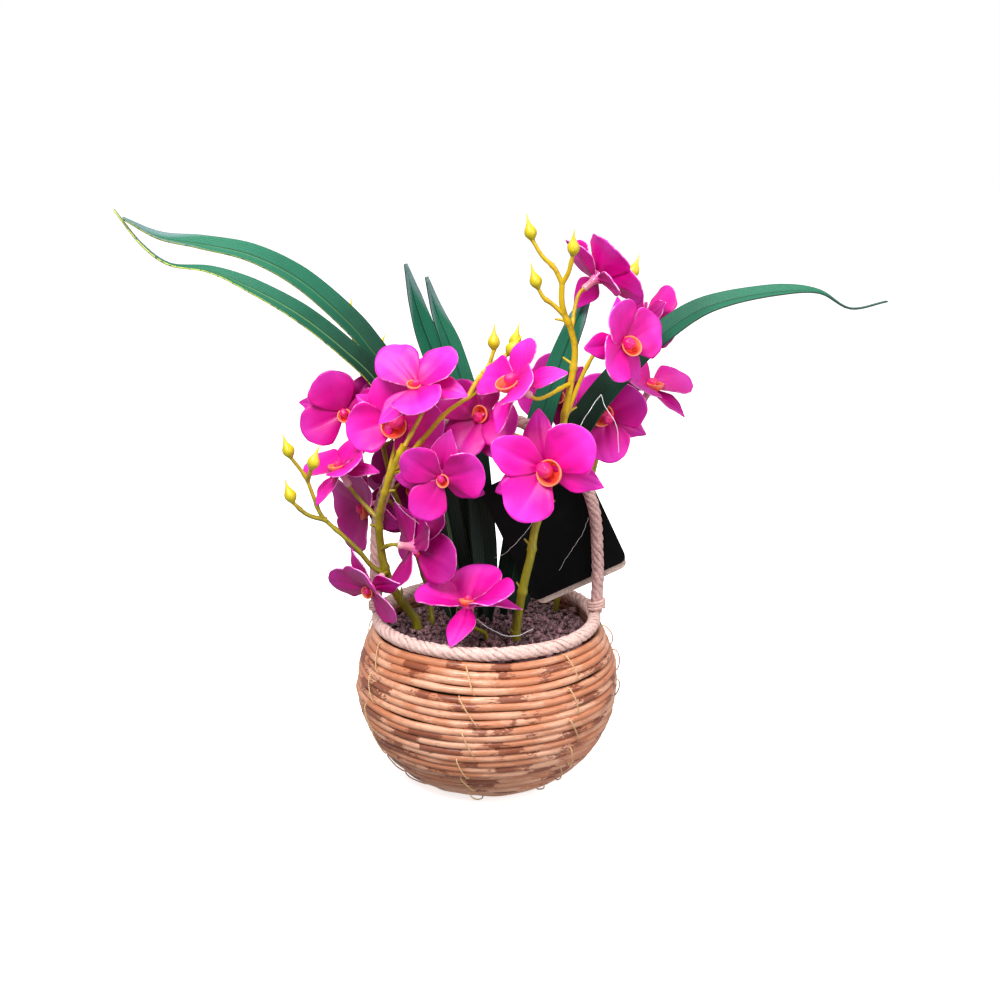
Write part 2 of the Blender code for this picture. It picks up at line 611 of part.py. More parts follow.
# Foot of every stem and leaf stalk in the soil: place, hole radius and depth.
SEATS = [(plan["route"][0][:2], plan["radii"][0] + STEM_HOLE_CLEARANCE, STEM_SEAT)
         for plan in STEMS.values()]
SEATS += [(plan[0][:2], LEAF_HOLE_RADIUS, LEAF_SEAT) for plan in LEAVES.values()]


# ---- card -------------------------------------------------------------------------------------------
CARD_TILT = math.radians(25.0)
CARD_LEAN = 0.02  # how far the card leans back, against its height
CARD_CORNER = 4.0
CORNER_POINTS = 4
# Lowest corner, width, height and thickness of each card.
CARD_FRONT = ((25.0, 4.5, 96.0), 55.0, 68.0, 0.8)
CARD_BACK = ((28.3, 6.2, 93.6), 52.0, 66.0, 0.6)


def make_card(name, corner, width, height, depth, finish):
    """A plain card with round corners, tilted on one corner behind the handle."""
    right = Vector((math.cos(CARD_TILT), CARD_LEAN, math.sin(CARD_TILT)))
    rise = Vector((-math.sin(CARD_TILT), CARD_LEAN, math.cos(CARD_TILT)))
    radius = CARD_CORNER
    outline = []
    for quarter, (x, y) in enumerate(((width - radius, height - radius), (radius, height - radius),
                                      (radius, radius), (width - radius, radius))):
        for i in range(CORNER_POINTS):
            angle = math.pi / 2 * (quarter + i / (CORNER_POINTS - 1))
            outline.append(Vector(corner) + right * (x + radius * math.cos(angle))
                           + rise * (y + radius * math.sin(angle)))
    back = Vector((0, depth, 0))
    add_object(name, loft([outline, [point + back for point in outline]]), finish)


def main():
    clear_scene()
    rattan = material("rattan", (0.72, 0.47, 0.30), 0.45)
    paper = material("paper_cord", (0.66, 0.46, 0.43), 0.75)
    yarn = material("yarn", (0.62, 0.44, 0.26), 0.8)
    foam = material("foam", (0.30, 0.34, 0.28), 0.9)
    soil = material("soil", (0.16, 0.08, 0.07), 0.55)
    stem = material("stem", (0.52, 0.42, 0.05), 0.45)
    leaf = material("leaf", (0.03, 0.16, 0.10), 0.4)
    petal = material("petal", (0.86, 0.02, 0.42), 0.4)
    card = material("card", (0.01, 0.01, 0.012), 0.5)
    backing = material("card_backing", (0.62, 0.50, 0.42), 0.7)
    make_base(rattan)
    make_bands(rattan)
    make_stitches(yarn)
    make_rim(paper)
    make_handle(paper)
    make_bindings(paper)
    make_foam(foam)
    make_soil(soil)
    for name in STEMS:
        make_stem(name, stem)
    for name in LEAVES:
        make_leaf(name, leaf)
    for name in FLOWERS:
        make_flower(name, petal)
    make_card("card_front", *CARD_FRONT, card)
    make_card("card_back", *CARD_BACK, backing)


main()
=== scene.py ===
"""Artificial orchid arrangement in a rattan basket: every finish and every detailed surface.

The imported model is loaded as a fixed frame, in metres, with +Z up and the basket's front towards -Y.
Point lists are in millimetres and are scaled by MM when a piece is finished. Each group of like pieces
has its own operator, and the panel in the 3-D view's sidebar lists them in the order they run.
"""

import math
import random

import bmesh
import bpy
from bpy.props import FloatProperty, IntProperty, PointerProperty
from mathutils import Matrix, Vector
from mathutils.noise import noise


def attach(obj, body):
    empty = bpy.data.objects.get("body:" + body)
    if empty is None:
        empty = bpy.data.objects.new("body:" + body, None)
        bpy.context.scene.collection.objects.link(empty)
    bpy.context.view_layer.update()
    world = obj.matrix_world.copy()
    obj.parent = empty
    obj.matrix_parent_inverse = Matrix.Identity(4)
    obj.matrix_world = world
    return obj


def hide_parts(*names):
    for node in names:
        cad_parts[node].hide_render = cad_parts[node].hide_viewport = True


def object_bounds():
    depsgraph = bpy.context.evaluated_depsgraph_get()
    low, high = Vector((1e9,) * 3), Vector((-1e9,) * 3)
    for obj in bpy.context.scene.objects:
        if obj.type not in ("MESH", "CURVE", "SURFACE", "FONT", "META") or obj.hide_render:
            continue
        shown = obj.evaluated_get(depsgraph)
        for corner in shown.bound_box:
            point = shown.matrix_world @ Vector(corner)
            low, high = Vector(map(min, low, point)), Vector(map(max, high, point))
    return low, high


bl_info = {
    "name": "Potted orchid looks",
    "version": (1, 0, 0),
    "blender": (4, 5, 0),
    "location": "3D View > Sidebar > Orchid",
    "description": "Builds the visible pieces of an artificial orchid in a rattan basket",
    "category": "Add Mesh",
}

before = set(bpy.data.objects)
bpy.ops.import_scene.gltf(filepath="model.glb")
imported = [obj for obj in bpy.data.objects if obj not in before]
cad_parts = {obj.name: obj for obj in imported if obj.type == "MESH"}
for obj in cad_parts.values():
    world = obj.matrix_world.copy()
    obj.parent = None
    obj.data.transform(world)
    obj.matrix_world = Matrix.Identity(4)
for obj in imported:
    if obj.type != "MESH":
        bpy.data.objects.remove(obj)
CAD_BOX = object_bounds()

MM = 0.001

# ---- driving dimensions, mm -------------------------------------------------------------------------
BASKET_OUTLINE = ((2.0, 36.0), (8.0, 46.0), (16.0, 54.5), (26.0, 62.0), (38.0, 67.5), (52.0, 70.0),
                  (66.0, 68.5), (77.0, 65.0), (86.2, 60.8))  # height and outer radius
BANDS = 6
STRANDS_PER_BAND = 4
BASE_RADIUS = 33.0
RIM_RADIUS = 57.5
RIM_HEIGHT = 90.0
HANDLE_HALF_SPAN = 58.0
HANDLE_SHOULDER = 132.0
HANDLE_TOP = 199.0
HANDLE_FOOT = 92.0
BINDING_HEIGHT = 5.5
SOIL_TOP = 83.0
SOIL_RADIUS = 53.4
STEM_SEAT = 66.0
LEAF_SEAT = 72.0
STITCH_COLUMNS = (-110.0, -60.0, -9.0, 42.0, 94.0, 145.0, 197.0)  # degrees from the front, to the right

CALYX_LENGTH = 10.5
STALK_PLUG = 2.0
STALK_TURN = 16.0
BIG_PETALS = (350.0, 100.0, 190.0)  # directions round the hub, with the lip usually at 270
SEPALS = (285.0, 45.0, 150.0)

# Flowers: hub in mm, then in degrees the yaw from the front to the right, the pitch upwards, the roll,
# the direction of the lip round the hub, and last the size against the largest flower.
FLOWERS = {
    "flower_right_front": ((30, -42, 182), -8, 5, 57, 270, 1.0),
    "flower_centre_top": ((15, -36, 223), -62, 38, 0, 240, 0.9),
    "flower_right_upper": ((68, -24, 241), 46, 10, 24, 290, 0.87),
    "flower_right_top": ((57, 12, 269), 125, 30, 30, 270, 0.9),
    "flower_right_back_top": ((84, 32, 244), 120, -20, 0, 270, 0.7),
    "flower_right_back": ((88, 42, 205), 50, 60, 0, 270, 0.85),
    "flower_right_low": ((63, 27, 193), -2, 4, -75, 230, 0.85),
    "flower_right_behind": ((37, 47, 200), 10, 20, 0, 270, 0.8),
    "flower_left_top": ((-34, -31, 221), -25, 50, -45, 270, 0.9),
    "flower_left_front": ((-45, -12, 199), -5, 5, 5, 225, 0.9),
    "flower_left_outer": ((-74, 8, 199), 0, 5, 15, 270, 0.85),
    "flower_left_side": ((-75, -13, 174), -60, 62, 0, 270, 0.75),
    "flower_middle_low": ((-22, -40, 177), -5, -8, 40, 270, 0.85),
    "flower_middle_top": ((-3, -18, 202), -20, 28, 150, 270, 0.8),
    "flower_middle_back": ((-28, 40, 192), 0, 20, -35, 270, 0.8),
    "flower_low_left": ((-64, 14, 146), -55, -10, 60, 270, 0.9),
    "flower_low_middle": ((-37, -18, 134), 120, -15, 0, 270, 0.95),
    "flower_low_back": ((-40, 40, 150), -10, 10, 30, 270, 1.0),
    "flower_rim_left": ((-60, -22, 113), -45, -30, -30, 270, 0.8),
    "flower_front": ((-9, -33, 108), -35, 78, 0, 270, 0.95),
}

STEMS = {
    "stem_left": {
        "radii": (2.9, 1.9),
        "route": ((-37, -3, STEM_SEAT), (-37, -3, 86), (-41, -4, 94), (-48, -8, 106), (-53, -12, 121),
                  (-55, -15, 136), (-55, -20, 150), (-52, -26, 163), (-47, -31, 178), (-41, -33, 192)),
        "twigs": (
            ((-47, -31, 178), (-38, -31, 187), (-29, -30, 197), (-20, -28, 207), (-9, -24, 214),
             (-2, -16, 217), (2, -12, 219)),
            ((-9, -24, 214), (-5, -20, 221), (1, -14, 228), (4, -12, 236)),
            ((-2, -17, 225), (5, -14, 230), (11, -14, 234)),
            ((8, -14, 232), (14, -8, 236)),
            ((-52, -11, 117), (-59, -15, 122), (-66, -18, 132), (-74, -20, 141), (-84, -20, 151),
             (-88, -20, 161), (-92, -20, 172), (-99, -20, 182)),
            ((-91, -20, 170), (-88, -28, 178)),
            ((-82, -20, 149), (-91, -24, 153), (-98, -26, 160)),
        ),
        "buds": ((2, -12, 219, 1, 1, 3), (4, -12, 236, 0, 0, 1), (11, -14, 234, 2, -1, 3),
                 (14, -8, 236, 1, 2, 5), (-99, -20, 182, -1, 0, 3), (-88, -28, 178, 1, 0, 3),
                 (-98, -26, 160, -1, 0, 3)),
        "flowers": {
            "flower_left_top": (-41, -33, 190), "flower_left_front": (-52, -26, 164),
            "flower_left_side": (-55, -19, 148), "flower_middle_low": (-47, -31, 177),
            "flower_low_middle": (-55, -14, 131),
            "flower_rim_left": (-50, -9, 110),
        },
    },
    "stem_left_back": {
        "radii": (1.9, 1.3),
        "route": ((-30, 6, STEM_SEAT), (-30, 6, 84), (-31, 9, 98), (-35, 12, 112), (-42, 17, 133),
                  (-50, 22, 154), (-55, 25, 175), (-59, 26, 194), (-63, 27, 208)),
        "twigs": (
            ((-63, 27, 208), (-66, 27, 216), (-69, 27, 222)),
            ((-63, 27, 208), (-61, 28, 216), (-58, 28, 224)),
            ((-67, 27, 218), (-69, 28, 230), (-71, 28, 242)),
            ((-60, 26, 197), (-53, 28, 205), (-47, 30, 211)),
        ),
        "buds": ((-69, 27, 222, -2, 0, 3), (-58, 28, 224, 1, 0, 3), (-71, 28, 242, 0, 0, 1),
                 (-47, 30, 211, 1, 0, 1)),
        "flowers": {"flower_middle_back": (-57, 25, 186), "flower_low_left": (-40, 16, 128),
                    "flower_low_back": (-31, 9, 98), "flower_left_outer": (-56, 25, 180)},
    },
    "stem_right": {
        "radii": (2.9, 1.7),
        "route": ((15, -20, STEM_SEAT), (15, -20, 84), (17, -19, 100), (20, -20, 117), (23, -20, 130),
                  (25, -18, 143), (30, -15, 158), (34, -13, 172), (38, -12, 187), (40, -11, 202),
                  (43, -10, 218), (45, -9, 234), (43, -8, 245), (40, -8, 252), (38, -9, 260),
                  (38, -10, 269)),
        "twigs": (
            ((38, -10, 269), (34, -11, 277), (28, -12, 283), (23, -12, 291)),
            ((38, -10, 269), (41, -13, 275), (43, -16, 284)),
            ((40, -8, 252), (34, -9, 258), (29, -11, 262), (26, -12, 267)),
        ),
        "buds": ((23, -12, 291, -1, 0, 4), (43, -16, 284, 0, -1, 4), (26, -12, 267, -1, 0, 3)),
        "flowers": {
            "flower_right_front": (38, -12, 187), "flower_centre_top": (43, -10, 218),
            "flower_middle_top": (37, -12, 183),
            "flower_right_upper": (40, -11, 200), "flower_right_top": (43, -8, 245),
        },
    },
    "stem_right_back": {
        "radii": (1.9, 1.3),
        "route": ((38, 30, STEM_SEAT), (38, 30, 86), (44, 33, 104), (50, 37, 124), (57, 42, 154),
                  (64, 47, 183), (69, 50, 202), (72, 52, 224), (75, 52, 245), (77, 51, 263)),
        "twigs": (),
        "buds": ((77, 51, 263, 1, 0, 3),),
        "flowers": {"flower_right_back_top": (73, 52, 230), "flower_right_back": (62, 46, 178),
                    "flower_right_low": (53, 39, 139), "flower_right_behind": (60, 44, 168)},
    },
    "stem_front": {
        "radii": (1.4, 1.2),
        "route": ((0, -22, STEM_SEAT), (0, -22, 84), (-1, -24, 90)),
        "twigs": (),
        "buds": (),
        "flowers": {"flower_front": (-1, -24, 89)},
    },
}
BUD_RINGS = ((-0.5, 0.9), (0.4, 1.5), (1.4, 2.3), (2.6, 3.0), (3.8, 3.2), (5.2, 2.9), (6.5, 2.2),
             (7.8, 1.4), (9.2, 0.85), (11.0, 0.45), (13.5, 0.15))
TWIG_RADII = (1.35, 0.95)
PEDICEL_RADII = (1.15, 0.95)

# Route of the midrib in mm with the blade's width and its turn about the midrib in degrees.
LEAVES = {
    "leaf_left_upper": (
        (-10, 16, LEAF_SEAT, 4, 0), (-10, 16, 86, 4, 0), (-12, 16, 98, 12, 0), (-17, 16, 122, 14, 8),
        (-23, 17, 151, 14, 15), (-35, 18, 188, 14, 30), (-48, 17, 214, 14, 45), (-60, 15, 232, 14, 45),
        (-72, 13, 247, 14, 45), (-95, 10, 268, 14, 50), (-119, 7, 281, 13, 55), (-143, 3, 287, 11, 60),
        (-163, -2, 291, 8, 70), (-180, -8, 301, 3, 80)),
    "leaf_left_lower": (
        (-19, 9, LEAF_SEAT, 4, 0), (-19, 9, 86, 4, 0), (-21, 9, 98, 11, 0), (-25, 9, 122, 13, 8),
        (-31, 9, 151, 13, 15), (-43, 9, 190, 12, 30), (-56, 5, 216, 12, 45), (-72, -1, 234, 12, 45),
        (-94, -6, 253, 12, 50), (-118, -8, 267, 11, 60), (-138, -8, 275, 8, 75), (-158, -8, 278, 5, 90),
        (-172, -6, 288, 4, 90), (-185, -4, 305, 2, 90)),
    "leaf_back_left": (
        (-3, 21, LEAF_SEAT, 4, 0), (-3, 21, 86, 4, 0), (-4, 21, 98, 12, 0), (-8, 22, 138, 14, 8),
        (-15, 23, 181, 14, 12), (-24, 24, 216, 14, 20), (-33, 25, 240, 12, 30), (-38, 25, 257, 9, 40),
        (-42, 25, 274, 2, 45)),
    "leaf_back_middle": (
        (1, 12, LEAF_SEAT, 4, 0), (1, 12, 86, 4, 0), (0, 12, 98, 12, 0), (-2, 14, 127, 14, 5),
        (-6, 17, 176, 13, 10), (-11, 19, 205, 13, 20), (-19, 20, 232, 12, 35), (-26, 20, 250, 8, 40),
        (-31, 20, 268, 2, 45)),
    "leaf_right": (
        (16, 11, LEAF_SEAT, 4, 0), (16, 11, 86, 4, 0), (18, 12, 98, 12, 0), (27, 16, 135, 14, -10),
        (40, 18, 172, 15, -25), (54, 14, 198, 16, -40), (69, 10, 218, 16, -45), (84, 6, 235, 16, -50),
        (104, 3, 251, 14, -55), (123, 0, 259, 12, -60), (148, -4, 264, 10, -70), (167, -8, 264, 6, -80),
        (183, -8, 256, 3, -90), (202, -4, 259, 2, -90)),
    "leaf_right_back": (
        (9, 21, LEAF_SEAT, 4, 0), (9, 21, 86, 4, 0), (10, 22, 98, 11, 0), (19, 26, 148, 13, -8),
        (29, 30, 191, 14, -15), (40, 32, 223, 13, -20), (48, 33, 244, 10, -25), (55, 34, 259, 2, -30)),
}

# Painted shade: how much darker and duller a flower that sits in shade is made than the brightest, from 0 to 1.
PAINTED_SHADES = {"flower_low_left": 0.7, "flower_low_middle": 0.7, "flower_low_back": 0.95, "flower_rim_left": 0.6,
          "flower_middle_low": 0.35, "flower_middle_back": 0.6, "flower_right_behind": 0.6,
          "flower_right_back_top": 0.5, "flower_right_back": 0.35, "flower_left_outer": 0.4,
          "flower_middle_top": 0.4, "flower_right_front": 0.0, "flower_centre_top": 0.1,
          "flower_left_front": 0.05, "flower_left_top": 0.1, "flower_right_upper": 0.15,
          "flower_right_top": 0.2, "flower_front": 0.2}
# How wide the three broad petals of a flower are against the usual width.
BREADTHS = {"flower_right_front": (1.0, 0.72, 0.95), "flower_middle_low": (1.0, 0.9, 0.85),
            "flower_centre_top": (0.9, 0.8, 0.9), "flower_left_top": (1.0, 0.9, 0.85)}
# How large the lip and the column of a flower are.
CENTRES = {"flower_right_front": 0.92, "flower_left_front": 0.9, "flower_right_upper": 0.72,
           "flower_right_low": 0.85, "flower_centre_top": 0.78, "flower_middle_top": 0.6,
           "flower_left_top": 0.45, "flower_middle_low": 0.45, "flower_front": 0.5, "flower_rim_left": 0.45,
           "flower_left_outer": 0.5, "flower_left_side": 0.5}
# How strongly a leaf shows a pale rib and a lighter green.
GLOW = {"leaf_left_upper": 0.5, "leaf_left_lower": 1.0}

# Strings of glue, thickest first, as points in mm.
GLUE_STRINGS = (
    ((58, -16, 214), (53, -20, 208), (45, -24, 196), (40, -30, 190)),
    ((58, -16, 214), (60, -17, 208), (66, -20, 198), (67, -18, 184)),
    ((-5, -36, 101), (4, -40, 96), (14, -40, 93), (24, -34, 95)),
    ((-8, -38, 102), (-12, -42, 96), (-15, -42, 91)),
    ((27, -32, 170), (24, -24, 150), (12, -16, 132), (4, -6, 124)),
    ((52, -20, 150), (50, -12, 140), (44, -6, 128), (38, -2, 116)),
    ((-50, -26, 168), (-42, -28, 156), (-34, -24, 148)),
    ((10, -18, 200), (12, -14, 192), (18, -12, 186), (22, -14, 196)),
)


# ---- shader arithmetic ------------------------------------------------------------------------------
class Term:
    """A value in a material: arithmetic on it adds the matching nodes."""

    def __init__(self, look, socket):
        self.look = look
        self.socket = socket

    def __add__(self, other):
        return self.look.math("ADD", self, other)

    def __radd__(self, other):
        return self.look.math("ADD", other, self)

    def __sub__(self, other):
        return self.look.math("SUBTRACT", self, other)

    def __rsub__(self, other):
        return self.look.math("SUBTRACT", other, self)

    def __mul__(self, other):
        return self.look.math("MULTIPLY", self, other)

    def __rmul__(self, other):
        return self.look.math("MULTIPLY", other, self)

    def __truediv__(self, other):
        return self.look.math("DIVIDE", self, other)

    def __pow__(self, other):
        return self.look.math("POWER", self, other)

    def __abs__(self):
        return self.look.math("ABSOLUTE", self)

    def between(self, low, high):
        """0 below low, 1 above high, and a smooth step from one to the other."""
        return self.look.node("ShaderNodeMapRange", {"interpolation_type": "SMOOTHSTEP"},
                              {"Value": self, "From Min": low, "From Max": high})


class Look:
    """One procedural material, built on its Principled BSDF."""

    def __init__(self, name, **constants):
        self.material = bpy.data.materials.new(name)
        self.material.use_nodes = True
        self.tree = self.material.node_tree
        self.shader = self.tree.nodes["Principled BSDF"]
        for socket, value in constants.items():
            self.shader.inputs[socket.replace("_", " ")].default_value = value

    def node(self, kind, settings, inputs, output=0):
        """Add a node, set it up and connect it; the result is one of its outputs."""
        added = self.tree.nodes.new(kind)
        for name, value in settings.items():
            setattr(added, name, value)
        for name, value in inputs.items():
            if isinstance(value, Term):
                self.tree.links.new(value.socket, added.inputs[name])
            else:
                added.inputs[name].default_value = value
        return Term(self, added.outputs[output])

    def math(self, operation, *values):
        return self.node("ShaderNodeMath", {"operation": operation}, dict(enumerate(values)))

    def place(self):
        """The point on the object, in millimetres."""
        point = self.node("ShaderNodeTexCoord", {}, {}, "Object")
        return self.scaled(point, (1 / MM, 1 / MM, 1 / MM))

    def scaled(self, vector, factors):
        return self.node("ShaderNodeVectorMath", {"operation": "MULTIPLY"}, {0: vector, 1: factors})

    def shifted(self, vector, x, y, z):
        offset = self.node("ShaderNodeCombineXYZ", {}, {"X": x, "Y": y, "Z": z})
        return self.node("ShaderNodeVectorMath", {"operation": "ADD"}, {0: vector, 1: offset})

    def part_of(self, vector, axis):
        return self.node("ShaderNodeSeparateXYZ", {}, {"Vector": vector}, axis)

    def value(self, name):
        """A number stored on the mesh."""
        return self.node("ShaderNodeAttribute", {"attribute_name": name}, {}, "Fac")

    def noise(self, vector, scale=1.0, detail=3.0, rough=0.5):
        return self.node("ShaderNodeTexNoise", {}, {"Vector": vector, "Scale": scale, "Detail": detail,
                                                    "Roughness": rough})

    def mix(self, amount, first, second):
        return self.node("ShaderNodeMix", {"data_type": "RGBA"}, {0: amount, 6: first, 7: second}, 2)

    def finish(self, colour, roughness=None, height=None, depth=0.1):
        """Connect the colour, the roughness and a height in millimetres, and return the material."""
        self.tree.links.new(colour.socket, self.shader.inputs["Base Color"])
        if roughness is not None:
            self.tree.links.new(roughness.socket, self.shader.inputs["Roughness"])
        if height is not None:
            bump = self.node("ShaderNodeBump", {}, {"Height": height, "Distance": depth * MM}, "Normal")
            self.tree.links.new(bump.socket, self.shader.inputs["Normal"])
        return self.material


def tone(red, green, blue):
    """A colour given in 0 to 255 display values, as the linear colour that a shader takes."""
    linear = [(c / 255 + 0.055) / 1.055 if c > 10 else c / 255 / 12.92 for c in (red, green, blue)]
    return (*[c ** 2.4 if value > 10 else c for c, value in zip(linear, (red, green, blue))], 1.0)


# ---- finishes ---------------------------------------------------------------------------------------
def rattan_look():
    """Peeled rattan: straw gold with browner stained lengths, long fibres and a soft gloss."""
    look = Look("rattan", Coat_Weight=0.35, Coat_Roughness=0.22)
    place = look.place()
    strand = look.value("strand")
    fibre = look.noise(look.scaled(place, (0.10, 0.10, 4.0)), 1.0, 4.0, 0.65)
    flame = look.noise(look.scaled(place, (0.30, 0.30, 1.3)), 1.0, 3.0, 0.6) - 0.5
    along = look.shifted(look.scaled(place, (0.030, 0.030, 0.0)), flame * 0.62, flame * 0.62, strand * 3.7)
    stain = look.noise(along, 1.5, 2.0, 0.5).between(0.575, 0.592)
    pale = look.noise(look.shifted(along, 9.0, 2.0, 0.0), 1.3, 2.0).between(0.42, 0.62)
    wood = look.mix(pale, tone(206, 132, 94), tone(236, 178, 146))
    wood = look.mix(fibre.between(0.42, 0.74) * 0.65, wood, tone(152, 84, 50))
    wood = look.mix(stain * (0.75 + fibre * 0.3), wood, tone(132, 62, 34))
    return look.finish(wood, 0.30 + fibre * 0.22, fibre, 0.22)


def cord_look(name, light, middle, dark):
    """Twisted paper: creases run round the cord and the paper between them is matt and fibrous; the dark colour
    is painted shade in the hollows of the folds, laid on in patches.
    """
    look = Look(name)
    place = look.place()
    crease = look.value("crease")
    paper = look.noise(place, 0.9, 5.0, 0.6)
    shade_patches = look.noise(place, 0.12, 2.0)
    colour = look.mix(paper.between(0.35, 0.7), middle, light)
    # Painted shade: the hollows between the folds are darkened towards the dark colour, in patches.
    colour = look.mix(crease.between(0.62, 0.02) * shade_patches.between(0.3, 0.62) * 0.9, colour, dark)
    return look.finish(colour, 0.62 + paper * 0.3, paper, 0.35)


def yarn_look():
    """Thin twisted lashing yarn."""
    look = Look("yarn")
    place = look.place()
    height = look.part_of(place, "Z")
    twist = look.math("SINE", height * 7.0 + look.noise(place, 0.4, 2.0) * 6.0) * 0.5 + 0.5
    colour = look.mix(twist, tone(186, 140, 92), tone(236, 200, 152))
    return look.finish(colour, 0.6 + twist * 0.2, twist, 0.1)


def soil_look():
    """Dark granules with browner and greyer ones among them, slightly glossy from the glue."""
    look = Look("soil")
    place = look.place()
    clump = look.noise(place, 0.16, 2.0)
    grain = look.noise(place, 1.4, 4.0, 0.65)
    colour = look.mix(clump.between(0.38, 0.66), tone(50, 22, 24), tone(142, 98, 104))
    colour = look.mix(grain.between(0.45, 0.70) * 0.8, colour, tone(206, 164, 172))
    colour = look.mix(grain.between(0.5, 0.34), colour, tone(18, 3, 5))
    return look.finish(colour, 0.75 - grain * 0.45, grain, 0.6)


def foam_look():
    """Dry green foam with fine open cells."""
    look = Look("foam")
    place = look.place()
    cells = look.noise(place, 1.8, 4.0, 0.7)
    colour = look.mix(cells, tone(60, 78, 52), tone(112, 132, 92))
    return look.finish(colour, 0.8 + cells * 0.15, cells, 0.5)


def stem_look():
    """Moulded stems: olive green at the foot and amber yellow towards the tips, with fine flow lines."""
    look = Look("stem", Coat_Weight=0.15, Coat_Roughness=0.3)
    place = look.place()
    height = look.part_of(place, "Z")
    lines = look.noise(look.scaled(place, (1.6, 1.6, 0.12)), 1.0, 3.0)
    mottle = look.noise(place, 0.22, 3.0)
    upper = (height + mottle * 60.0).between(150.0, 245.0)
    colour = look.mix(upper, tone(122, 116, 4), tone(206, 172, 4))
    colour = look.mix(lines.between(0.45, 0.75) * 0.35, colour, tone(208, 184, 22))
    colour = look.mix(mottle.between(0.5, 0.3) * 0.45, colour, tone(126, 112, 8))
    return look.finish(colour, 0.36 + lines * 0.2, lines, 0.15)


def bud_look():
    """Closed buds: yellow green, greener at the foot, with a waxy surface."""
    look = Look("bud", Coat_Weight=0.2, Coat_Roughness=0.25)
    place = look.place()
    tip = look.value("reach")
    mottle = look.noise(place, 0.5, 3.0)
    colour = look.mix(tip.between(0.1, 0.75), tone(176, 168, 0), tone(218, 192, 4))
    colour = look.mix(mottle.between(0.5, 0.72) * 0.5, colour, tone(226, 208, 50))
    return look.finish(colour, 0.32 + mottle * 0.2, mottle, 0.15)


def leaf_look():
    """Coated leaf cloth: dark green at the foot, taken to near black by painted shade, blue green further out,
    with ribs along it and a line of painted shade in the midrib fold.
    """
    look = Look("leaf", Specular_IOR_Level=0.3)
    place = look.place()
    reach = look.value("reach")
    side = look.value("side")
    glow = look.value("glow")
    mottle = look.noise(place, 0.07, 3.0)
    ribs = look.math("SINE", side * 34.0 + mottle * 2.0) * 0.5 + 0.5
    cloth = look.noise(look.scaled(place, (1.5, 1.5, 1.5)), 1.0, 3.0)
    # Painted shade: the leaf's own dark green is taken to near black towards its foot, deep in the arrangement.
    outer = (reach + mottle * 0.16).between(0.46, 0.92)
    colour = look.mix(outer, tone(3, 28, 16), tone(26, 108, 80))
    colour = look.mix(ribs * 0.12 * outer, colour, tone(10, 70, 44))
    # Painted shade in the fold along the midrib: a dark line down the middle of the blade.
    middle = abs(side).between(0.10, 0.02)
    colour = look.mix(middle * outer * 0.85, colour, tone(8, 46, 28))
    bright = abs(side + 0.14).between(0.12, 0.04) * glow
    colour = look.mix(bright * 0.65, colour, tone(104, 146, 84))
    tip = (reach + abs(side) * 0.1).between(0.93, 1.0)
    colour = look.mix(tip * 0.7, colour, tone(118, 140, 144))
    height = ribs * 0.5 + cloth * 0.35 - middle * 0.8
    return look.finish(colour, 0.42 + cloth * 0.2, height, 0.25)


def leaf_edge_look():
    """The cut edge of a leaf, where the paler cloth shows."""
    look = Look("leaf_edge")
    thread = look.noise(look.place(), 0.6, 3.0)
    pale = look.value("glow") * thread.between(0.3, 0.5)
    colour = look.mix(pale, tone(14, 58, 38), tone(176, 190, 70))
    return look.finish(colour, 0.5 + thread * 0.3, thread, 0.1)


def petal_look():
    """Soft moulded petals: deep magenta at the root, vivid pink, and violet pink towards the rim that is partly
    their own colour and partly a painted highlight; flowers in shade are darkened with painted shade.
    """
    look = Look("petal", Specular_IOR_Level=0.28, Coat_Weight=0.12, Coat_Roughness=0.35)
    place = look.place()
    reach = look.value("reach")
    side = look.value("side")
    shade = look.value("shade")
    cloud = look.noise(place, 0.09, 3.0)
    grain = look.noise(place, 2.4, 3.0, 0.6)
    across = look.node("ShaderNodeCombineXYZ", {}, {"X": side * 7.0, "Y": reach * 1.2, "Z": shade * 9.0})
    veins = look.noise(across, 2.2, 3.0, 0.55)
    vivid = look.mix((reach + cloud * 0.3).between(0.10, 0.62), tone(176, 0, 104), tone(238, 0, 164))
    # Violet pink towards the rim: partly the petals' own colour, partly a painted highlight.
    vivid = look.mix((reach + cloud * 0.35).between(0.62, 1.12) * 0.7, vivid, tone(246, 56, 214))
    vivid = look.mix(veins.between(0.5, 0.72) * 0.26, vivid, tone(172, 0, 112))
    # Painted shade: flowers in shade, and their sepals, are darkened towards a deep magenta.
    vivid = look.mix(shade * 0.9, vivid, tone(132, 0, 88))
    return look.finish(vivid, 0.40 + grain * 0.16, grain * 0.4 + veins * 0.7, 0.12)


def petal_edge_look():
    """The thin cut edge round every petal, where the colour has not taken."""
    look = Look("petal_edge")
    wear = look.noise(look.place(), 0.35, 3.0)
    colour = look.mix(wear.between(0.35, 0.65), tone(224, 60, 180), tone(250, 176, 228))
    return look.finish(colour, 0.45 + wear * 0.2, wear, 0.05)


def lip_look():
    """The scooped lip: hot orange inside, salmon at its rim."""
    look = Look("lip", Coat_Weight=0.15, Coat_Roughness=0.3)
    place = look.place()
    rim = look.value("reach")
    cloud = look.noise(place, 0.3, 3.0)
    colour = look.mix((rim + cloud * 0.3).between(0.35, 1.05), tone(244, 74, 52), tone(255, 140, 96))
    colour = look.mix(cloud.between(0.55, 0.75) * 0.5, colour, tone(255, 128, 128))
    return look.finish(colour, 0.38 + cloud * 0.2, cloud, 0.1)


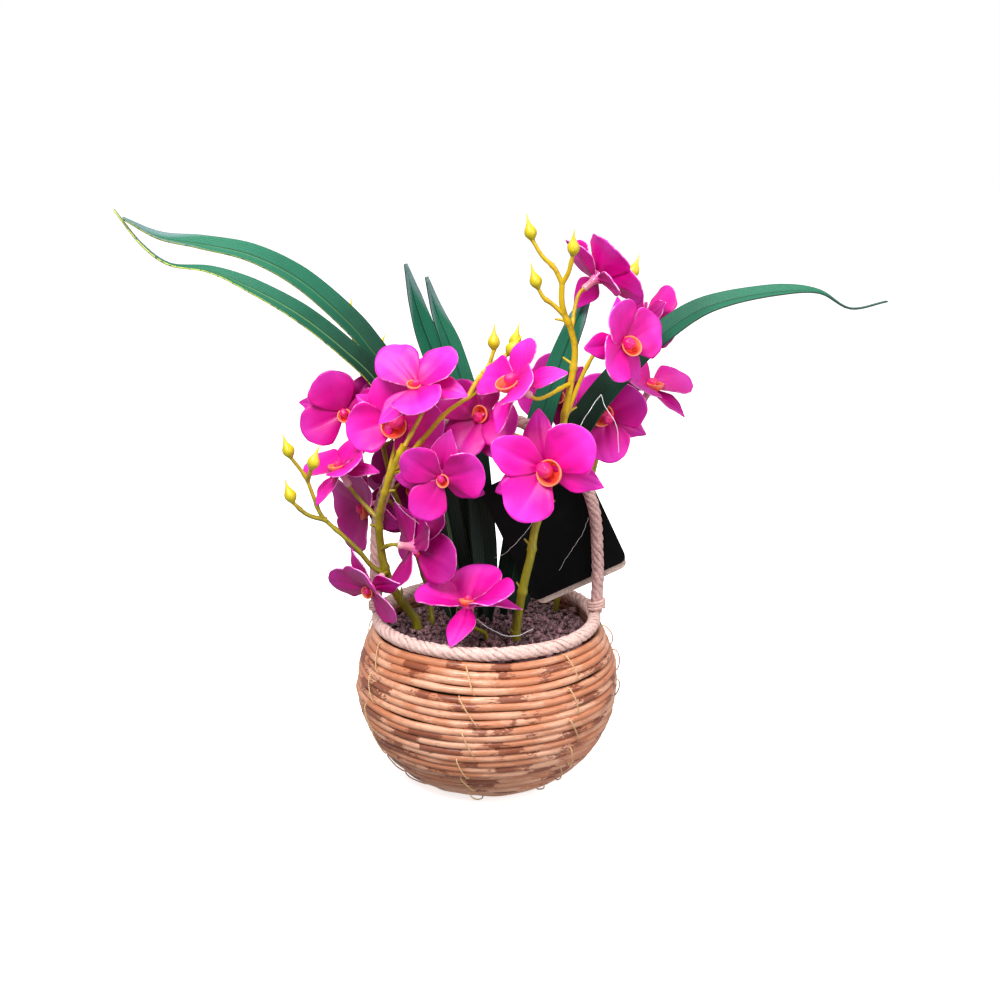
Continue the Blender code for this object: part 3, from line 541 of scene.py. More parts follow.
def column_look():
    """The rounded hood over the lip: magenta pink that turns orange at its foot."""
    look = Look("column", Coat_Weight=0.2, Coat_Roughness=0.3)
    place = look.place()
    reach = look.value("reach")
    cloud = look.noise(place, 0.25, 3.0)
    colour = look.mix((reach + cloud * 0.3).between(0.2, 0.75), tone(242, 66, 84), tone(236, 18, 122))
    return look.finish(colour, 0.38 + cloud * 0.2, cloud, 0.12)


def calyx_look():
    """The pale, half clear tube behind every flower."""
    look = Look("calyx", Subsurface_Weight=0.35, Subsurface_Scale=0.002, Coat_Weight=0.3)
    place = look.place()
    reach = look.value("reach")
    cloud = look.noise(place, 0.5, 3.0)
    colour = look.mix((reach + cloud * 0.4).between(0.2, 1.1), tone(236, 178, 178), tone(240, 92, 178))
    return look.finish(colour, 0.28 + cloud * 0.2, cloud, 0.15)


def glue_look():
    """Dried strings of clear glue, whitish where they are thicker."""
    look = Look("glue", Coat_Weight=0.4, Coat_Roughness=0.2)
    cloud = look.noise(look.place(), 0.4, 3.0)
    colour = look.mix(cloud, tone(214, 214, 214), tone(252, 252, 252))
    return look.finish(colour, 0.25 + cloud * 0.2, cloud, 0.05)


def card_look():
    """Plain black coated card, faintly scuffed."""
    look = Look("card", Specular_IOR_Level=0.12)
    place = look.place()
    scuff = look.noise(place, 0.12, 5.0, 0.65)
    fine = look.noise(place, 2.5, 2.0)
    colour = look.mix(scuff.between(0.45, 0.8), tone(2, 2, 2), tone(12, 12, 14))
    return look.finish(colour, 0.40 + scuff * 0.3, fine, 0.03)


def backing_look():
    """Plain uncoated card."""
    look = Look("card_backing")
    place = look.place()
    fibre = look.noise(place, 0.9, 5.0, 0.7)
    colour = look.mix(fibre.between(0.35, 0.7), tone(186, 160, 148), tone(222, 202, 192))
    return look.finish(colour, 0.7 + fibre * 0.2, fibre, 0.08)


def floor_look():
    """Matt pale paper under the object."""
    look = Look("floor", Emission_Color=(1.0, 1.0, 1.0, 1.0), Emission_Strength=0.72)
    fibre = look.noise(look.place(), 0.02, 3.0)
    colour = look.mix(fibre, tone(246, 246, 247), tone(252, 252, 252))
    return look.finish(colour, 0.8 + fibre * 0.1)


# ---- mesh helpers -----------------------------------------------------------------------------------
def new_shape(*values):
    """An empty mesh that carries the named numbers on its points."""
    bm = bmesh.new()
    for name in values:
        bm.verts.layers.float.new(name)
    return bm


def add_piece(name, bm, looks, nodes=(), wall=0.0, sharp=60.0, levels=0):
    """Turn a mesh in millimetres into a finished piece that rides on the basket."""
    bmesh.ops.recalc_face_normals(bm, faces=bm.faces)
    bmesh.ops.scale(bm, vec=(MM, MM, MM), verts=bm.verts)
    mesh = bpy.data.meshes.new(name)
    bm.to_mesh(mesh)
    bm.free()
    mesh.shade_smooth()
    mesh.set_sharp_from_angle(angle=math.radians(sharp))
    for look in looks:
        mesh.materials.append(look)
    piece = bpy.data.objects.new(name, mesh)
    bpy.context.scene.collection.objects.link(piece)
    if levels:
        smooth = piece.modifiers.new("smooth", "SUBSURF")
        smooth.levels = levels
        smooth.render_levels = levels
    if wall:
        solid = piece.modifiers.new("thickness", "SOLIDIFY")
        solid.thickness = wall * MM
        solid.offset = 0.0
        solid.material_offset_rim = len(looks) - 1
    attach(piece, "root")
    if nodes:
        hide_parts(*nodes)
    return piece


def smooth_path(points, spacing):
    """Points about every `spacing` mm on a Catmull-Rom curve through the given ones, of any size."""
    points = [Vector(point) for point in points]
    padded = [2 * points[0] - points[1]] + points + [2 * points[-1] - points[-2]]
    route = [points[0]]
    for before, start, end, after in zip(padded, padded[1:], padded[2:], padded[3:]):
        steps = max(1, round((end - start).length / spacing))
        for i in range(1, steps + 1):
            t = i / steps
            route.append(0.5 * (2 * start + (end - before) * t
                                + (2 * before - 5 * start + 4 * end - after) * t * t
                                + (3 * start - before - 3 * end + after) * t ** 3))
    return route


def directions(route):
    """The unit direction of travel at every point of a route."""
    ends = [route[0]] + route + [route[-1]]
    return [(after - before).normalized() for before, after in zip(ends, ends[2:])]


def frames_along(route):
    """Axes at every point of a route, with Z along it and no twist."""
    axes = directions(route)[0].to_track_quat("Z", "Y")
    found = []
    for along in directions(route):
        axes = (axes @ Vector((0, 0, 1))).rotation_difference(along) @ axes
        found.append(axes.to_matrix())
    return found


def sweep(bm, route, radius_at, sides, value=None, value_at=None):
    """Carry a round section along a route. radius_at(i, turn) is its radius at point i of the route."""
    layer = bm.verts.layers.float.get(value) if value else None
    start = bmesh.ops.create_circle(bm, cap_ends=True, radius=1.0, segments=sides)["verts"]
    face = start[0].link_faces[0]
    first = list(face.verts)
    turns = [math.atan2(vert.co.y, vert.co.x) for vert in first]
    for i, (point, axes) in enumerate(zip(route, frames_along(route))):
        if i:
            face = bmesh.ops.extrude_discrete_faces(bm, faces=[face])["faces"][0]
        for vert, turn in zip(face.verts, turns):
            radius = radius_at(i, turn)
            vert.co = point + axes @ Vector((radius * math.cos(turn), radius * math.sin(turn), 0.0))
            if layer:
                vert[layer] = value_at(i, turn)
    bm.faces.new(reversed(first))


def tube(bm, route, start_radius, end_radius, sides=8):
    """A plain tapering rod along a route."""
    last = len(route) - 1
    sweep(bm, route, lambda i, turn: start_radius + (end_radius - start_radius) * i / last, sides)


# ---- basket -----------------------------------------------------------------------------------------
def wall_point(distance):
    """The point (radius, height) and outward normal at a distance along the basket's outline."""
    points = [Vector((radius, height)) for height, radius in BASKET_OUTLINE]
    for start, end in zip(points, points[1:]):
        length = (end - start).length
        if distance <= length or end is points[-1]:
            along = (end - start) / length
            return start + along * distance, Vector((along.y, -along.x))
        distance -= length


def wall_length():
    """Length of the basket's outline from foot to top."""
    points = [Vector((radius, height)) for height, radius in BASKET_OUTLINE]
    return sum((end - start).length for start, end in zip(points, points[1:]))


def sway(angle, band, strand, amount):
    """How far a strand strays at an angle: mostly with its band, and a little on its own."""
    x, y = math.cos(angle), math.sin(angle)
    return amount * (1.3 * noise((x * 1.1, y * 1.1, band * 5.3))
                     + 0.55 * noise((x * 2.3, y * 2.3, strand * 3.1 + 40.0)))


def add_strand(bm, distance, band, strand, settings):
    """One hoop of rattan: a spun ring whose height and radius wander a little."""
    radius = settings.strand_radius / MM
    outer, normal = wall_point(distance)
    centre = outer - normal * radius
    circle = bmesh.ops.create_circle(
        bm, radius=radius * 1.04, segments=12,
        matrix=Matrix.Translation((centre.x, 0, centre.y)) @ Matrix.Rotation(math.pi / 2, 4, "X"))
    known = set(bm.verts) - set(circle["verts"])
    edges = list({edge for vert in circle["verts"] for edge in vert.link_edges})
    bmesh.ops.spin(bm, geom=circle["verts"] + edges, axis=(0, 0, 1), angle=math.tau,
                   steps=120, use_merge=True)
    layer = bm.verts.layers.float["strand"]
    for vert in bm.verts:
        if vert in known:
            continue
        angle = math.atan2(vert.co.y, vert.co.x)
        thick = 1.0 + 0.14 * noise((math.cos(angle) * 3.0, math.sin(angle) * 3.0, strand * 7.7))
        across = Vector((math.cos(angle), math.sin(angle), 0.0))
        middle = across * centre.x + Vector((0, 0, centre.y))
        stray = sway(angle, band, strand, settings.stray / MM)
        slip = 0.5 * sway(angle + 2.0, band, strand, settings.stray / MM)
        vert.co = middle + (vert.co - middle) * thick + Vector((0, 0, stray)) + across * slip
        vert[layer] = strand


def make_strands(settings):
    look = rattan_look()
    height = wall_length() / BANDS
    pitch = height / STRANDS_PER_BAND
    for band in range(BANDS):
        bm = new_shape("strand")
        for i in range(STRANDS_PER_BAND):
            strand = band * STRANDS_PER_BAND + i
            add_strand(bm, band * height + (i + 0.5) * pitch, band, strand, settings)
        add_piece(f"rattan_band_{band + 1}", bm, [look], [f"strand_band_{band + 1}"])


def make_base(settings):
    """One strand coiled flat from the middle outwards."""
    radius = settings.strand_radius / MM
    turns = (BASE_RADIUS - radius) / (2 * radius)
    steps = int(turns * 40)
    route = []
    for i in range(steps + 1):
        angle = math.tau * turns * i / steps
        reach = 1.2 + (BASE_RADIUS - radius - 1.2) * i / steps
        route.append(Vector((reach * math.cos(angle), reach * math.sin(angle), radius)))
    bm = new_shape("strand")
    sweep(bm, route, lambda i, turn: radius, 8, "strand", lambda i, turn: 30.0 + i / 40)
    add_piece("rattan_base", bm, [rattan_look()], ["base_disc"])


def make_lashings(settings):
    """Loops of yarn over each band, seven to a band, that hold its strands together."""
    look = yarn_look()
    dice = random.Random(11)
    height = wall_length() / BANDS
    for number, degrees in enumerate(STITCH_COLUMNS, 1):
        bm = new_shape()
        for band in range(BANDS):
            lean = dice.uniform(1.6, 4.4)
            offset = dice.uniform(-2.0, 2.0)
            slack = dice.uniform(0.3, 1.9)
            route = []
            for i in range(13):
                t = i / 12
                angle = math.radians(degrees - 90.0 + offset + lean * (0.5 - t) * 2)
                point, normal = wall_point(height * (band + 0.02 + 0.96 * t))
                proud = 0.75 + slack * math.sin(math.pi * t) - 2.4 * abs(2 * t - 1) ** 12
                strand = band * STRANDS_PER_BAND + 2
                slip = 0.5 * sway(angle + 2.0, band, strand, settings.stray / MM)
                stray = sway(angle, band, strand, settings.stray / MM)
                spot = point + normal * (proud + slip)
                route.append(Vector((spot.x * math.cos(angle), spot.x * math.sin(angle),
                                     spot.y + stray)))
            tube(bm, route, settings.yarn_radius / MM, settings.yarn_radius / MM, 6)
        add_piece(f"lashing_{number}", bm, [look], [f"stitch_{number}"])


def crease_height(turn, phase, spot):
    """Height from 0 to 1 of the twisted paper's folds."""
    folds = abs(math.sin(2.5 * turn + phase + 1.2 * noise(spot * 0.16)))
    return max(0.0, min(1.0, folds ** 0.7 * (0.8 + 0.5 * noise(spot * 0.35 + Vector((7, 3, 1))))))


def make_rim(settings):
    """The mouth's cord of twisted paper: a spun ring whose surface is folded along the twist."""
    radius = settings.rim_radius / MM
    bm = new_shape("crease")
    circle = bmesh.ops.create_circle(
        bm, radius=radius, segments=24,
        matrix=Matrix.Translation((RIM_RADIUS, 0, RIM_HEIGHT)) @ Matrix.Rotation(math.pi / 2, 4, "X"))
    bmesh.ops.spin(bm, geom=circle["verts"] + list(bm.edges), axis=(0, 0, 1), angle=math.tau,
                   steps=420, use_merge=True)
    layer = bm.verts.layers.float["crease"]
    for vert in bm.verts:
        angle = math.atan2(vert.co.y, vert.co.x)
        across = Vector((math.cos(angle), math.sin(angle), 0.0))
        middle = across * RIM_RADIUS + Vector((0, 0, RIM_HEIGHT))
        out = vert.co - middle
        turn = math.atan2(out.z, out.dot(across))
        crease = crease_height(turn, angle * settings.rim_twists, vert.co)
        middle += Vector((0, 0, 0.8 * noise(across * 1.3))) + across * 0.7 * noise(across * 1.7)
        vert.co = middle + out.normalized() * (radius - 0.5 + 0.75 * crease)
        vert[layer] = crease
    # The last colour is the painted shade in the hollows of the folds.
    look = cord_look("rim_paper", tone(238, 208, 200), tone(216, 176, 166), tone(128, 82, 72))
    add_piece("rim_wrapped", bm, [look], ["rim_cord"])


def handle_route():
    """The handle's centre line from its left foot, over the arch, to its right foot."""
    rise = HANDLE_TOP - HANDLE_SHOULDER
    arch = [(-HANDLE_HALF_SPAN * math.cos(math.pi * i / 16), 0.0,
             HANDLE_SHOULDER + rise * math.sin(math.pi * i / 16)) for i in range(17)]
    legs = [(-HANDLE_HALF_SPAN, 0.0, HANDLE_FOOT), (-HANDLE_HALF_SPAN - 0.8, 0.0, HANDLE_FOOT + 19.0)]
    return smooth_path(legs + arch + [(-x, y, z) for x, y, z in reversed(legs)], 0.75)


def make_handle(settings):
    """The arch of twisted paper cord."""
    radius = settings.handle_radius / MM
    route = handle_route()
    bm = new_shape("crease")

    def crease_at(i, turn):
        spot = route[i] + Vector((radius * math.cos(turn), radius * math.sin(turn), 0.0))
        return crease_height(turn, i * 0.75 * math.pi / (settings.handle_pitch / MM), spot)

    sweep(bm, route, lambda i, turn: radius - 0.6 + 0.85 * crease_at(i, turn), 24, "crease", crease_at)
    # The last colour is the painted shade in the hollows of the folds.
    look = cord_look("handle_paper", tone(224, 186, 180), tone(192, 146, 142), tone(92, 54, 50))
    add_piece("handle_wrapped", bm, [look], ["handle_cord"])


def make_bindings(settings):
    """Three turns of thin paper cord round each foot of the handle."""
    # The last colour is the painted shade in the hollows of the folds.
    look = cord_look("binding_paper", tone(230, 196, 188), tone(206, 162, 152), tone(120, 80, 74))
    radius = 0.95
    around = settings.handle_radius / MM + radius - 0.1
    for name, x in (("left", -HANDLE_HALF_SPAN - 0.1), ("right", HANDLE_HALF_SPAN + 0.1)):
        route = []
        for i in range(3 * 24 + 1):
            angle = math.tau * i / 24
            height = RIM_HEIGHT + 4.2 + BINDING_HEIGHT * 0.85 * i / 72 + 0.6 * math.cos(angle)
            route.append(Vector((x + around * math.cos(angle), around * math.sin(angle), height)))
        bm = new_shape("crease")
        sweep(bm, route, lambda i, turn: radius, 10, "crease",
              lambda i, turn: abs(math.sin(2 * turn + i * 0.6)))
        add_piece(f"binding_{name}", bm, [look], [f"handle_binding_{name}"])


# ---- filling ----------------------------------------------------------------------------------------
def make_soil(settings):
    """A dark bed with several hundred rounded granules glued on it."""
    look = soil_look()
    bed = new_shape()
    bmesh.ops.create_circle(bed, cap_ends=True, radius=SOIL_RADIUS, segments=48)
    bmesh.ops.translate(bed, vec=(0, 0, SOIL_TOP - 12.0), verts=bed.verts)
    lifted = bmesh.ops.extrude_face_region(bed, geom=bed.faces[:])["geom"]
    bmesh.ops.translate(bed, vec=(0, 0, 11.0), verts=[g for g in lifted if isinstance(g, bmesh.types.BMVert)])
    for reach in (0.8, 0.8, 0.75, 0.7):
        inset = bmesh.ops.inset_individual(bed, faces=[max(bed.faces, key=top_of)], thickness=SOIL_RADIUS
                                           * (1 - reach) * 0.7, use_even_offset=True)
        del inset
    for vert in bed.verts:
        if vert.co.z > SOIL_TOP - 6.0:
            vert.co.z += 1.6 * noise(vert.co * 0.09)
    add_piece("soil_bed", bed, [look], ["soil_layer"])

    template = bmesh.new()
    bmesh.ops.create_cube(template, size=1.6)
    bmesh.ops.subdivide_edges(template, edges=template.edges, cuts=1, use_grid_fill=True)
    for vert in template.verts:
        vert.co = vert.co.normalized() * (0.9 + 0.35 * noise(vert.co * 1.4))
    granule = bpy.data.meshes.new("granule")
    template.to_mesh(granule)
    template.free()
    dice = random.Random(5)
    bm = new_shape()
    for _ in range(settings.granules):
        reach = (SOIL_RADIUS - 1.5) * math.sqrt(dice.random())
        angle = dice.uniform(0.0, math.tau)
        size = dice.uniform(settings.granule_low, settings.granule_high) / MM
        spot = Vector((reach * math.cos(angle), reach * math.sin(angle), SOIL_TOP))
        spot.z += 1.6 * noise(spot * 0.09) + dice.uniform(-0.9, 0.9) * size
        turn = Matrix.Rotation(dice.uniform(0, math.tau), 4, Vector((dice.random(), dice.random(), 1)))
        stretch = Matrix.Diagonal((size * dice.uniform(0.8, 1.25), size * dice.uniform(0.8, 1.2),
                                   size * dice.uniform(0.65, 1.0), 1.0))
        count = len(bm.verts)
        bm.from_mesh(granule)
        bm.verts.ensure_lookup_table()
        bmesh.ops.transform(bm, matrix=Matrix.Translation(spot) @ turn @ stretch, verts=bm.verts[count:])
    bpy.data.meshes.remove(granule)
    add_piece("soil_granules", bm, [look])


def top_of(face):
    """Orders faces by height, with the level ones first."""
    return face.calc_center_median().z + face.normal.z


# ---- flowers ----------------------------------------------------------------------------------------
def flower_axes(yaw, pitch, roll):
    """Axes of a flower: Z out of its face, and its lip at -Y before the roll."""
    yaw, pitch = math.radians(yaw), math.radians(pitch)
    face = Vector((math.sin(yaw) * math.cos(pitch), -math.cos(yaw) * math.cos(pitch), math.sin(pitch)))
    side = Vector((0, 0, 1)).cross(face).normalized()
    upright = Matrix((side, face.cross(side), face)).transposed()
    return upright @ Matrix.Rotation(math.radians(roll), 3, "Z")


def flower_place(name):
    """The matrix that puts a flower modelled round the origin on its stalk."""
    hub, yaw, pitch, roll, _, _ = FLOWERS[name]
    return Matrix.Translation(hub) @ flower_axes(yaw, pitch, roll).to_4x4()


def grow_petal(bm, degrees, foot, length, half_width, shape, shade, seed):
    """A petal from a square grid rounded into a disc, then cupped, curled, creased and rippled."""
    reach_layer = bm.verts.layers.float["reach"]
    side_layer = bm.verts.layers.float["side"]
    shade_layer = bm.verts.layers.float["shade"]
    angle = math.radians(degrees)
    out = Vector((math.cos(angle), math.sin(angle), 0.0))
    across = Vector((-out.y, out.x, 0.0))
    claw, tip, lift, curl, ripple, skew = shape
    grid = bmesh.ops.create_grid(bm, x_segments=18, y_segments=18, size=1.0)["verts"]
    for vert in grid:
        x, y = vert.co.x, vert.co.y
        side, along = x * math.sqrt(1 - y * y / 2), y * math.sqrt(1 - x * x / 2)
        reach = (1 + along) / 2
        narrow = claw + (1 - claw) * min(1.0, reach / 0.46) ** 0.85
        pointed = 1 - tip * max(0.0, (reach - 0.55) / 0.45) ** 1.5
        edge = abs(side) ** 1.6
        wave = noise(Vector((side * 1.5, reach * 2.0, seed)))
        fringe = noise(Vector((side * 3.2, reach * 4.4, seed + 31.0)))
        rise = (lift[0] * reach + lift[1] * reach * reach) * length
        rise += curl * edge * half_width * math.sin(math.pi * min(1.0, reach * 1.05) ** 1.2)
        rise += ripple * half_width * (wave * (0.3 + edge) + 0.35 * fringe * edge)
        rise -= 0.8 * math.exp(-(side / 0.11) ** 2) * (1 - reach) ** 0.7
        bend = skew * half_width * math.sin(math.pi * reach)
        grow = 1.0 + 0.05 * fringe * edge
        vert.co = (out * (1.2 + reach * (length - 1.2) * grow)
                   + across * (side * half_width * narrow * pointed * grow + bend)
                   + Vector((0, 0, foot + rise)))
        vert[reach_layer] = reach
        vert[side_layer] = side
        vert[shade_layer] = shade


def make_petals(name, settings, looks, dice):
    """The three broad petals and the three sepals behind them."""
    size = FLOWERS[name][5]
    bm = new_shape("reach", "side", "shade")
    shade = PAINTED_SHADES.get(name, 0.25)
    for degrees, broad in zip(BIG_PETALS, BREADTHS.get(name, (1.0, 1.0, 1.0))):
        lift = (0.30 + dice.uniform(-0.08, 0.10), -0.02 - dice.uniform(0.0, 0.12))
        shape = (0.46, dice.uniform(0.0, 0.20), lift, 0.20 + dice.uniform(-0.22, 0.12), 0.15,
                 dice.uniform(-0.14, 0.14))
        grow_petal(bm, degrees + dice.uniform(-7, 7), 1.1 + dice.uniform(-0.3, 0.3),
                   size * settings.petal_length / MM * dice.uniform(0.94, 1.04),
                   size * settings.petal_width / MM / 2 * broad * dice.uniform(0.96, 1.06), shape, shade,
                   dice.uniform(0, 90))
    # The sepals sit behind the broad petals and get 0.12 more painted shade.
    for degrees in SEPALS:
        lift = (0.02, -0.26 + dice.uniform(-0.08, 0.14))
        shape = (0.50, dice.uniform(0.50, 0.8), lift, 0.12 + dice.uniform(-0.2, 0.16), 0.14,
                 dice.uniform(-0.2, 0.2))
        grow_petal(bm, degrees + dice.uniform(-6, 6), -1.2, size * settings.sepal_length / MM
                   * dice.uniform(0.94, 1.04), size * settings.sepal_width / MM / 2, shape, shade + 0.12,
                   dice.uniform(0, 90))
    bmesh.ops.transform(bm, matrix=flower_place(name), verts=bm.verts)
    add_piece(f"petals_{name}", bm, looks, [name], wall=settings.petal_thickness / MM)


def make_lip(name, settings, looks):
    """The scooped lip that holds the rounded column, both turned to the lip's side."""
    lip_way = FLOWERS[name][4]
    scale = CENTRES.get(name, 0.6)
    tilt = Vector((0.0, 0.52, 0.85)).normalized()
    bowl = new_shape("reach")
    bmesh.ops.create_uvsphere(bowl, u_segments=24, v_segments=16, radius=1.0)
    bmesh.ops.bisect_plane(bowl, geom=bowl.verts[:] + bowl.edges[:] + bowl.faces[:], plane_co=tilt * 0.08,
                           plane_no=tilt, clear_outer=True)
    layer = bowl.verts.layers.float["reach"]
    for vert in bowl.verts:
        vert[layer] = 1.0 + vert.co.dot(tilt)
        flare = 1.0 + 0.22 * max(0.0, vert[layer] - 0.55)
        vert.co = Vector((vert.co.x * 6.3 * flare, vert.co.y * 6.9 * flare - 2.4, vert.co.z * 6.4 + 6.2))
    column = new_shape("reach")
    bmesh.ops.create_uvsphere(column, u_segments=20, v_segments=14, radius=1.0)
    layer = column.verts.layers.float["reach"]
    for vert in column.verts:
        vert[layer] = 0.5 + 0.5 * vert.co.y * 0.8 + 0.1 * vert.co.z
        beak = 1.0 + 0.10 * noise(vert.co * 1.7)
        vert.co = Vector((vert.co.x * 4.2, vert.co.y * 4.6 + 0.6, vert.co.z * 5.2 + 5.0)) * beak
    way = Matrix.Rotation(math.radians(lip_way - 270.0), 4, "Z") @ Matrix.Scale(scale, 4)
    for bm in (bowl, column):
        bmesh.ops.transform(bm, matrix=flower_place(name) @ way, verts=bm.verts)
    add_piece(f"lip_{name}", bowl, [looks[0]], wall=settings.petal_thickness / MM)
    add_piece(f"column_{name}", column, [looks[1]])


def make_calyx(name, look):
    """The tube that joins a flower to its stalk, flared where the sepals sit."""
    bm = new_shape("reach")
    rings = ((-CALYX_LENGTH, 1.3), (-9.6, 1.9), (-7.0, 1.75), (-4.0, 2.0), (-2.0, 2.7), (-0.4, 4.0), (0.6, 4.2))
    route = [Vector((0, 0, height)) for height, _ in rings]
    sweep(bm, route, lambda i, turn: rings[i][1] * (1 + 0.05 * math.cos(6 * turn)), 18, "reach",
          lambda i, turn: i / (len(rings) - 1))
    bmesh.ops.transform(bm, matrix=flower_place(name), verts=bm.verts)
    add_piece(f"calyx_{name}", bm, [look])


def make_flowers(settings):
    petals = [petal_look(), petal_edge_look()]
    centres = [lip_look(), column_look()]
    calyx = calyx_look()
    dice = random.Random(3)
    for name in FLOWERS:
        make_petals(name, settings, petals, dice)
        make_lip(name, settings, centres)
        make_calyx(name, calyx)


# ---- stems ------------------------------------------------------------------------------------------
def stalk_route(start, name):
    """A curved stalk from the stem to the back of a flower."""
    face = flower_axes(*FLOWERS[name][1:4]) @ Vector((0, 0, 1))
    tail = Vector(FLOWERS[name][0]) - face * (CALYX_LENGTH - 0.6)
    end = tail - face * STALK_PLUG
    start = Vector(start)
    reach = (end - start).length
    leave = start + (end - start) * 0.2 + Vector((0, 0, 0.05 * reach))
    arrive = end - face * min(0.22 * reach, STALK_TURN)
    steps = max(6, round((end - start).length / 2.5))
    route = []
    for i in range(steps + 1):
        t = i / steps
        route.append((1 - t) ** 3 * start + 3 * (1 - t) ** 2 * t * leave
                     + 3 * (1 - t) * t * t * arrive + t ** 3 * end)
    return route + [tail]


def knotted(route, start_radius, end_radius, gap, first):
    """Radius along a stem that thickens at its nodes, every `gap` mm from the first."""
    travelled = [0.0]
    for before, after in zip(route, route[1:]):
        travelled.append(travelled[-1] + (after - before).length)
    last = travelled[-1]

    def radius_at(i, turn):
        base = start_radius + (end_radius - start_radius) * travelled[i] / last
        away = (travelled[i] - first + gap / 2) % gap - gap / 2
        return base * (1 + 0.30 * math.exp(-(away / 1.3) ** 2) + 0.05 * math.cos(3 * turn))

    return radius_at, travelled


def add_stubs(bm, route, travelled, radius, gap, first, dice):
    """Short cut-off side shoots at the nodes of a stem."""
    along = directions(route)
    for i in range(1, len(route)):
        if (travelled[i] - first) // gap == (travelled[i - 1] - first) // gap:
            continue
        out = along[i].orthogonal()
        out.rotate(Matrix.Rotation(dice.uniform(0, math.tau), 3, along[i]))
        shoot = out * 0.8 + along[i] * dice.uniform(0.5, 1.0)
        length = dice.uniform(3.0, 5.5)
        start = route[i] + out * radius * 0.5
        tube(bm, [start, start + shoot * length * 0.5, start + shoot * length], 0.95, 0.5, 6)


def add_bud(bm, x, y, z, lean_x, lean_y, lean_z):
    """A pointed drop on the end of a twig, leaning in the given direction."""
    lean = Vector((lean_x, lean_y, lean_z)).normalized()
    side = lean.orthogonal().normalized()
    route = [Vector((x, y, z)) + lean * height + side * (0.012 * max(0.0, height - 6.0) ** 2)
             for height, _ in BUD_RINGS]
    sweep(bm, route, lambda i, turn: BUD_RINGS[i][1] * (1 + 0.06 * math.cos(3 * turn)), 14, "reach",
          lambda i, turn: i / (len(BUD_RINGS) - 1))


def make_stems(settings):
    stem, bud = stem_look(), bud_look()
    dice = random.Random(8)
    gap = settings.node_gap / MM
    for name, plan in STEMS.items():
        bm = new_shape("reach")
        route = smooth_path(plan["route"], 1.6)
        first = dice.uniform(0.4, 0.9) * gap
        radii = [radius * settings.slimness for radius in plan["radii"]]
        radius_at, travelled = knotted(route, *radii, gap, first)
        sweep(bm, route, radius_at, 14)
        if plan["radii"][0] > 1.5:
            add_stubs(bm, route, travelled, plan["radii"][1], gap, first, dice)
        for twig in plan["twigs"]:
            path = smooth_path(twig, 1.6)
            swell, _ = knotted(path, *TWIG_RADII, gap * 0.7, dice.uniform(0.3, 0.9) * gap)
            sweep(bm, path, swell, 10)
        for flower, start in plan["flowers"].items():
            path = stalk_route(start, flower)
            swell, _ = knotted(path, *PEDICEL_RADII, gap, dice.uniform(0.2, 0.5) * gap)
            sweep(bm, path, swell, 8)
        add_piece(name.replace("stem", "spray"), bm, [stem], [name])
        if plan["buds"]:
            bm = new_shape("reach")
            for place in plan["buds"]:
                add_bud(bm, *place)
            add_piece(name.replace("stem", "buds"), bm, [bud])


# ---- leaves -----------------------------------------------------------------------------------------
def make_leaf(name, settings, looks):
    """A long strap leaf, folded along its midrib, on a grid bent along the leaf's route."""
    plan = LEAVES[name]
    route = smooth_path([point[:3] for point in plan], 3.0)
    steps = len(route)
    traits = [[float(value) for value in point[3:]] for point in plan]
    spans = [max(1, round((Vector(b[:3]) - Vector(a[:3])).length / 3.0)) for a, b in zip(plan, plan[1:])]
    widths, turns = [traits[0][0]], [traits[0][1]]
    for (width, turn), (next_width, next_turn), span in zip(traits, traits[1:], spans):
        for i in range(1, span + 1):
            widths.append(width + (next_width - width) * i / span)
            turns.append(turn + (next_turn - turn) * i / span)
    bm = new_shape("reach", "side", "glow")
    layers = [bm.verts.layers.float[value] for value in ("reach", "side", "glow")]
    columns = 12
    grid = bmesh.ops.create_grid(bm, x_segments=columns, y_segments=steps - 1, size=1.0)["verts"]
    along = directions(route)
    for vert in grid:
        side, row = vert.co.x, round((vert.co.y + 1) / 2 * (steps - 1))
        travel, reach = along[row], row / (steps - 1)
        across = travel.cross(Vector((0, -1, 0))).normalized()
        across = Matrix.Rotation(math.radians(turns[row]), 3, travel) @ across
        normal = across.cross(travel)
        half = max(0.25, widths[row] / 2)
        fold = settings.leaf_fold * half * (abs(side) ** 1.15 - 0.12)
        wave = 0.10 * half * noise(Vector((reach * 9.0, side, len(name) * 1.7))) * abs(side)
        vert.co = route[row] + across * side * half + normal * (fold + wave)
        for layer, value in zip(layers, (reach, side, GLOW.get(name, 0.0))):
            vert[layer] = value
    add_piece(f"blade_{name}", bm, looks, [name], wall=settings.leaf_thickness / MM)


def make_leaves(settings):
    looks = [leaf_look(), leaf_edge_look()]
    for name in LEAVES:
        make_leaf(name, settings, looks)


# ---- small things -----------------------------------------------------------------------------------
def make_threads(settings):
    """Fine strings of glue left between the flowers, stems and leaves."""
    bm = new_shape()
    for number, string in enumerate(GLUE_STRINGS):
        path = smooth_path(string, 1.5)
        path = [point + Vector((0.5 * noise(point * 0.2), 0.4 * noise(point * 0.17), 0.5 * noise(point * 0.23)))
                for point in path]
        radius = settings.thread_radius / MM * (1.0 if number < 4 else 0.6)
        tube(bm, path, radius, radius * 0.8, 5)
    add_piece("glue_threads", bm, [glue_look()])


def finish_frame():
    """Give the CAD nodes that stay in view their own finishes."""
    for node, look in (("foam_block", foam_look()), ("card_front", card_look()), ("card_back", backing_look())):
        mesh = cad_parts[node].data
        mesh.materials.clear()
        mesh.materials.append(look)


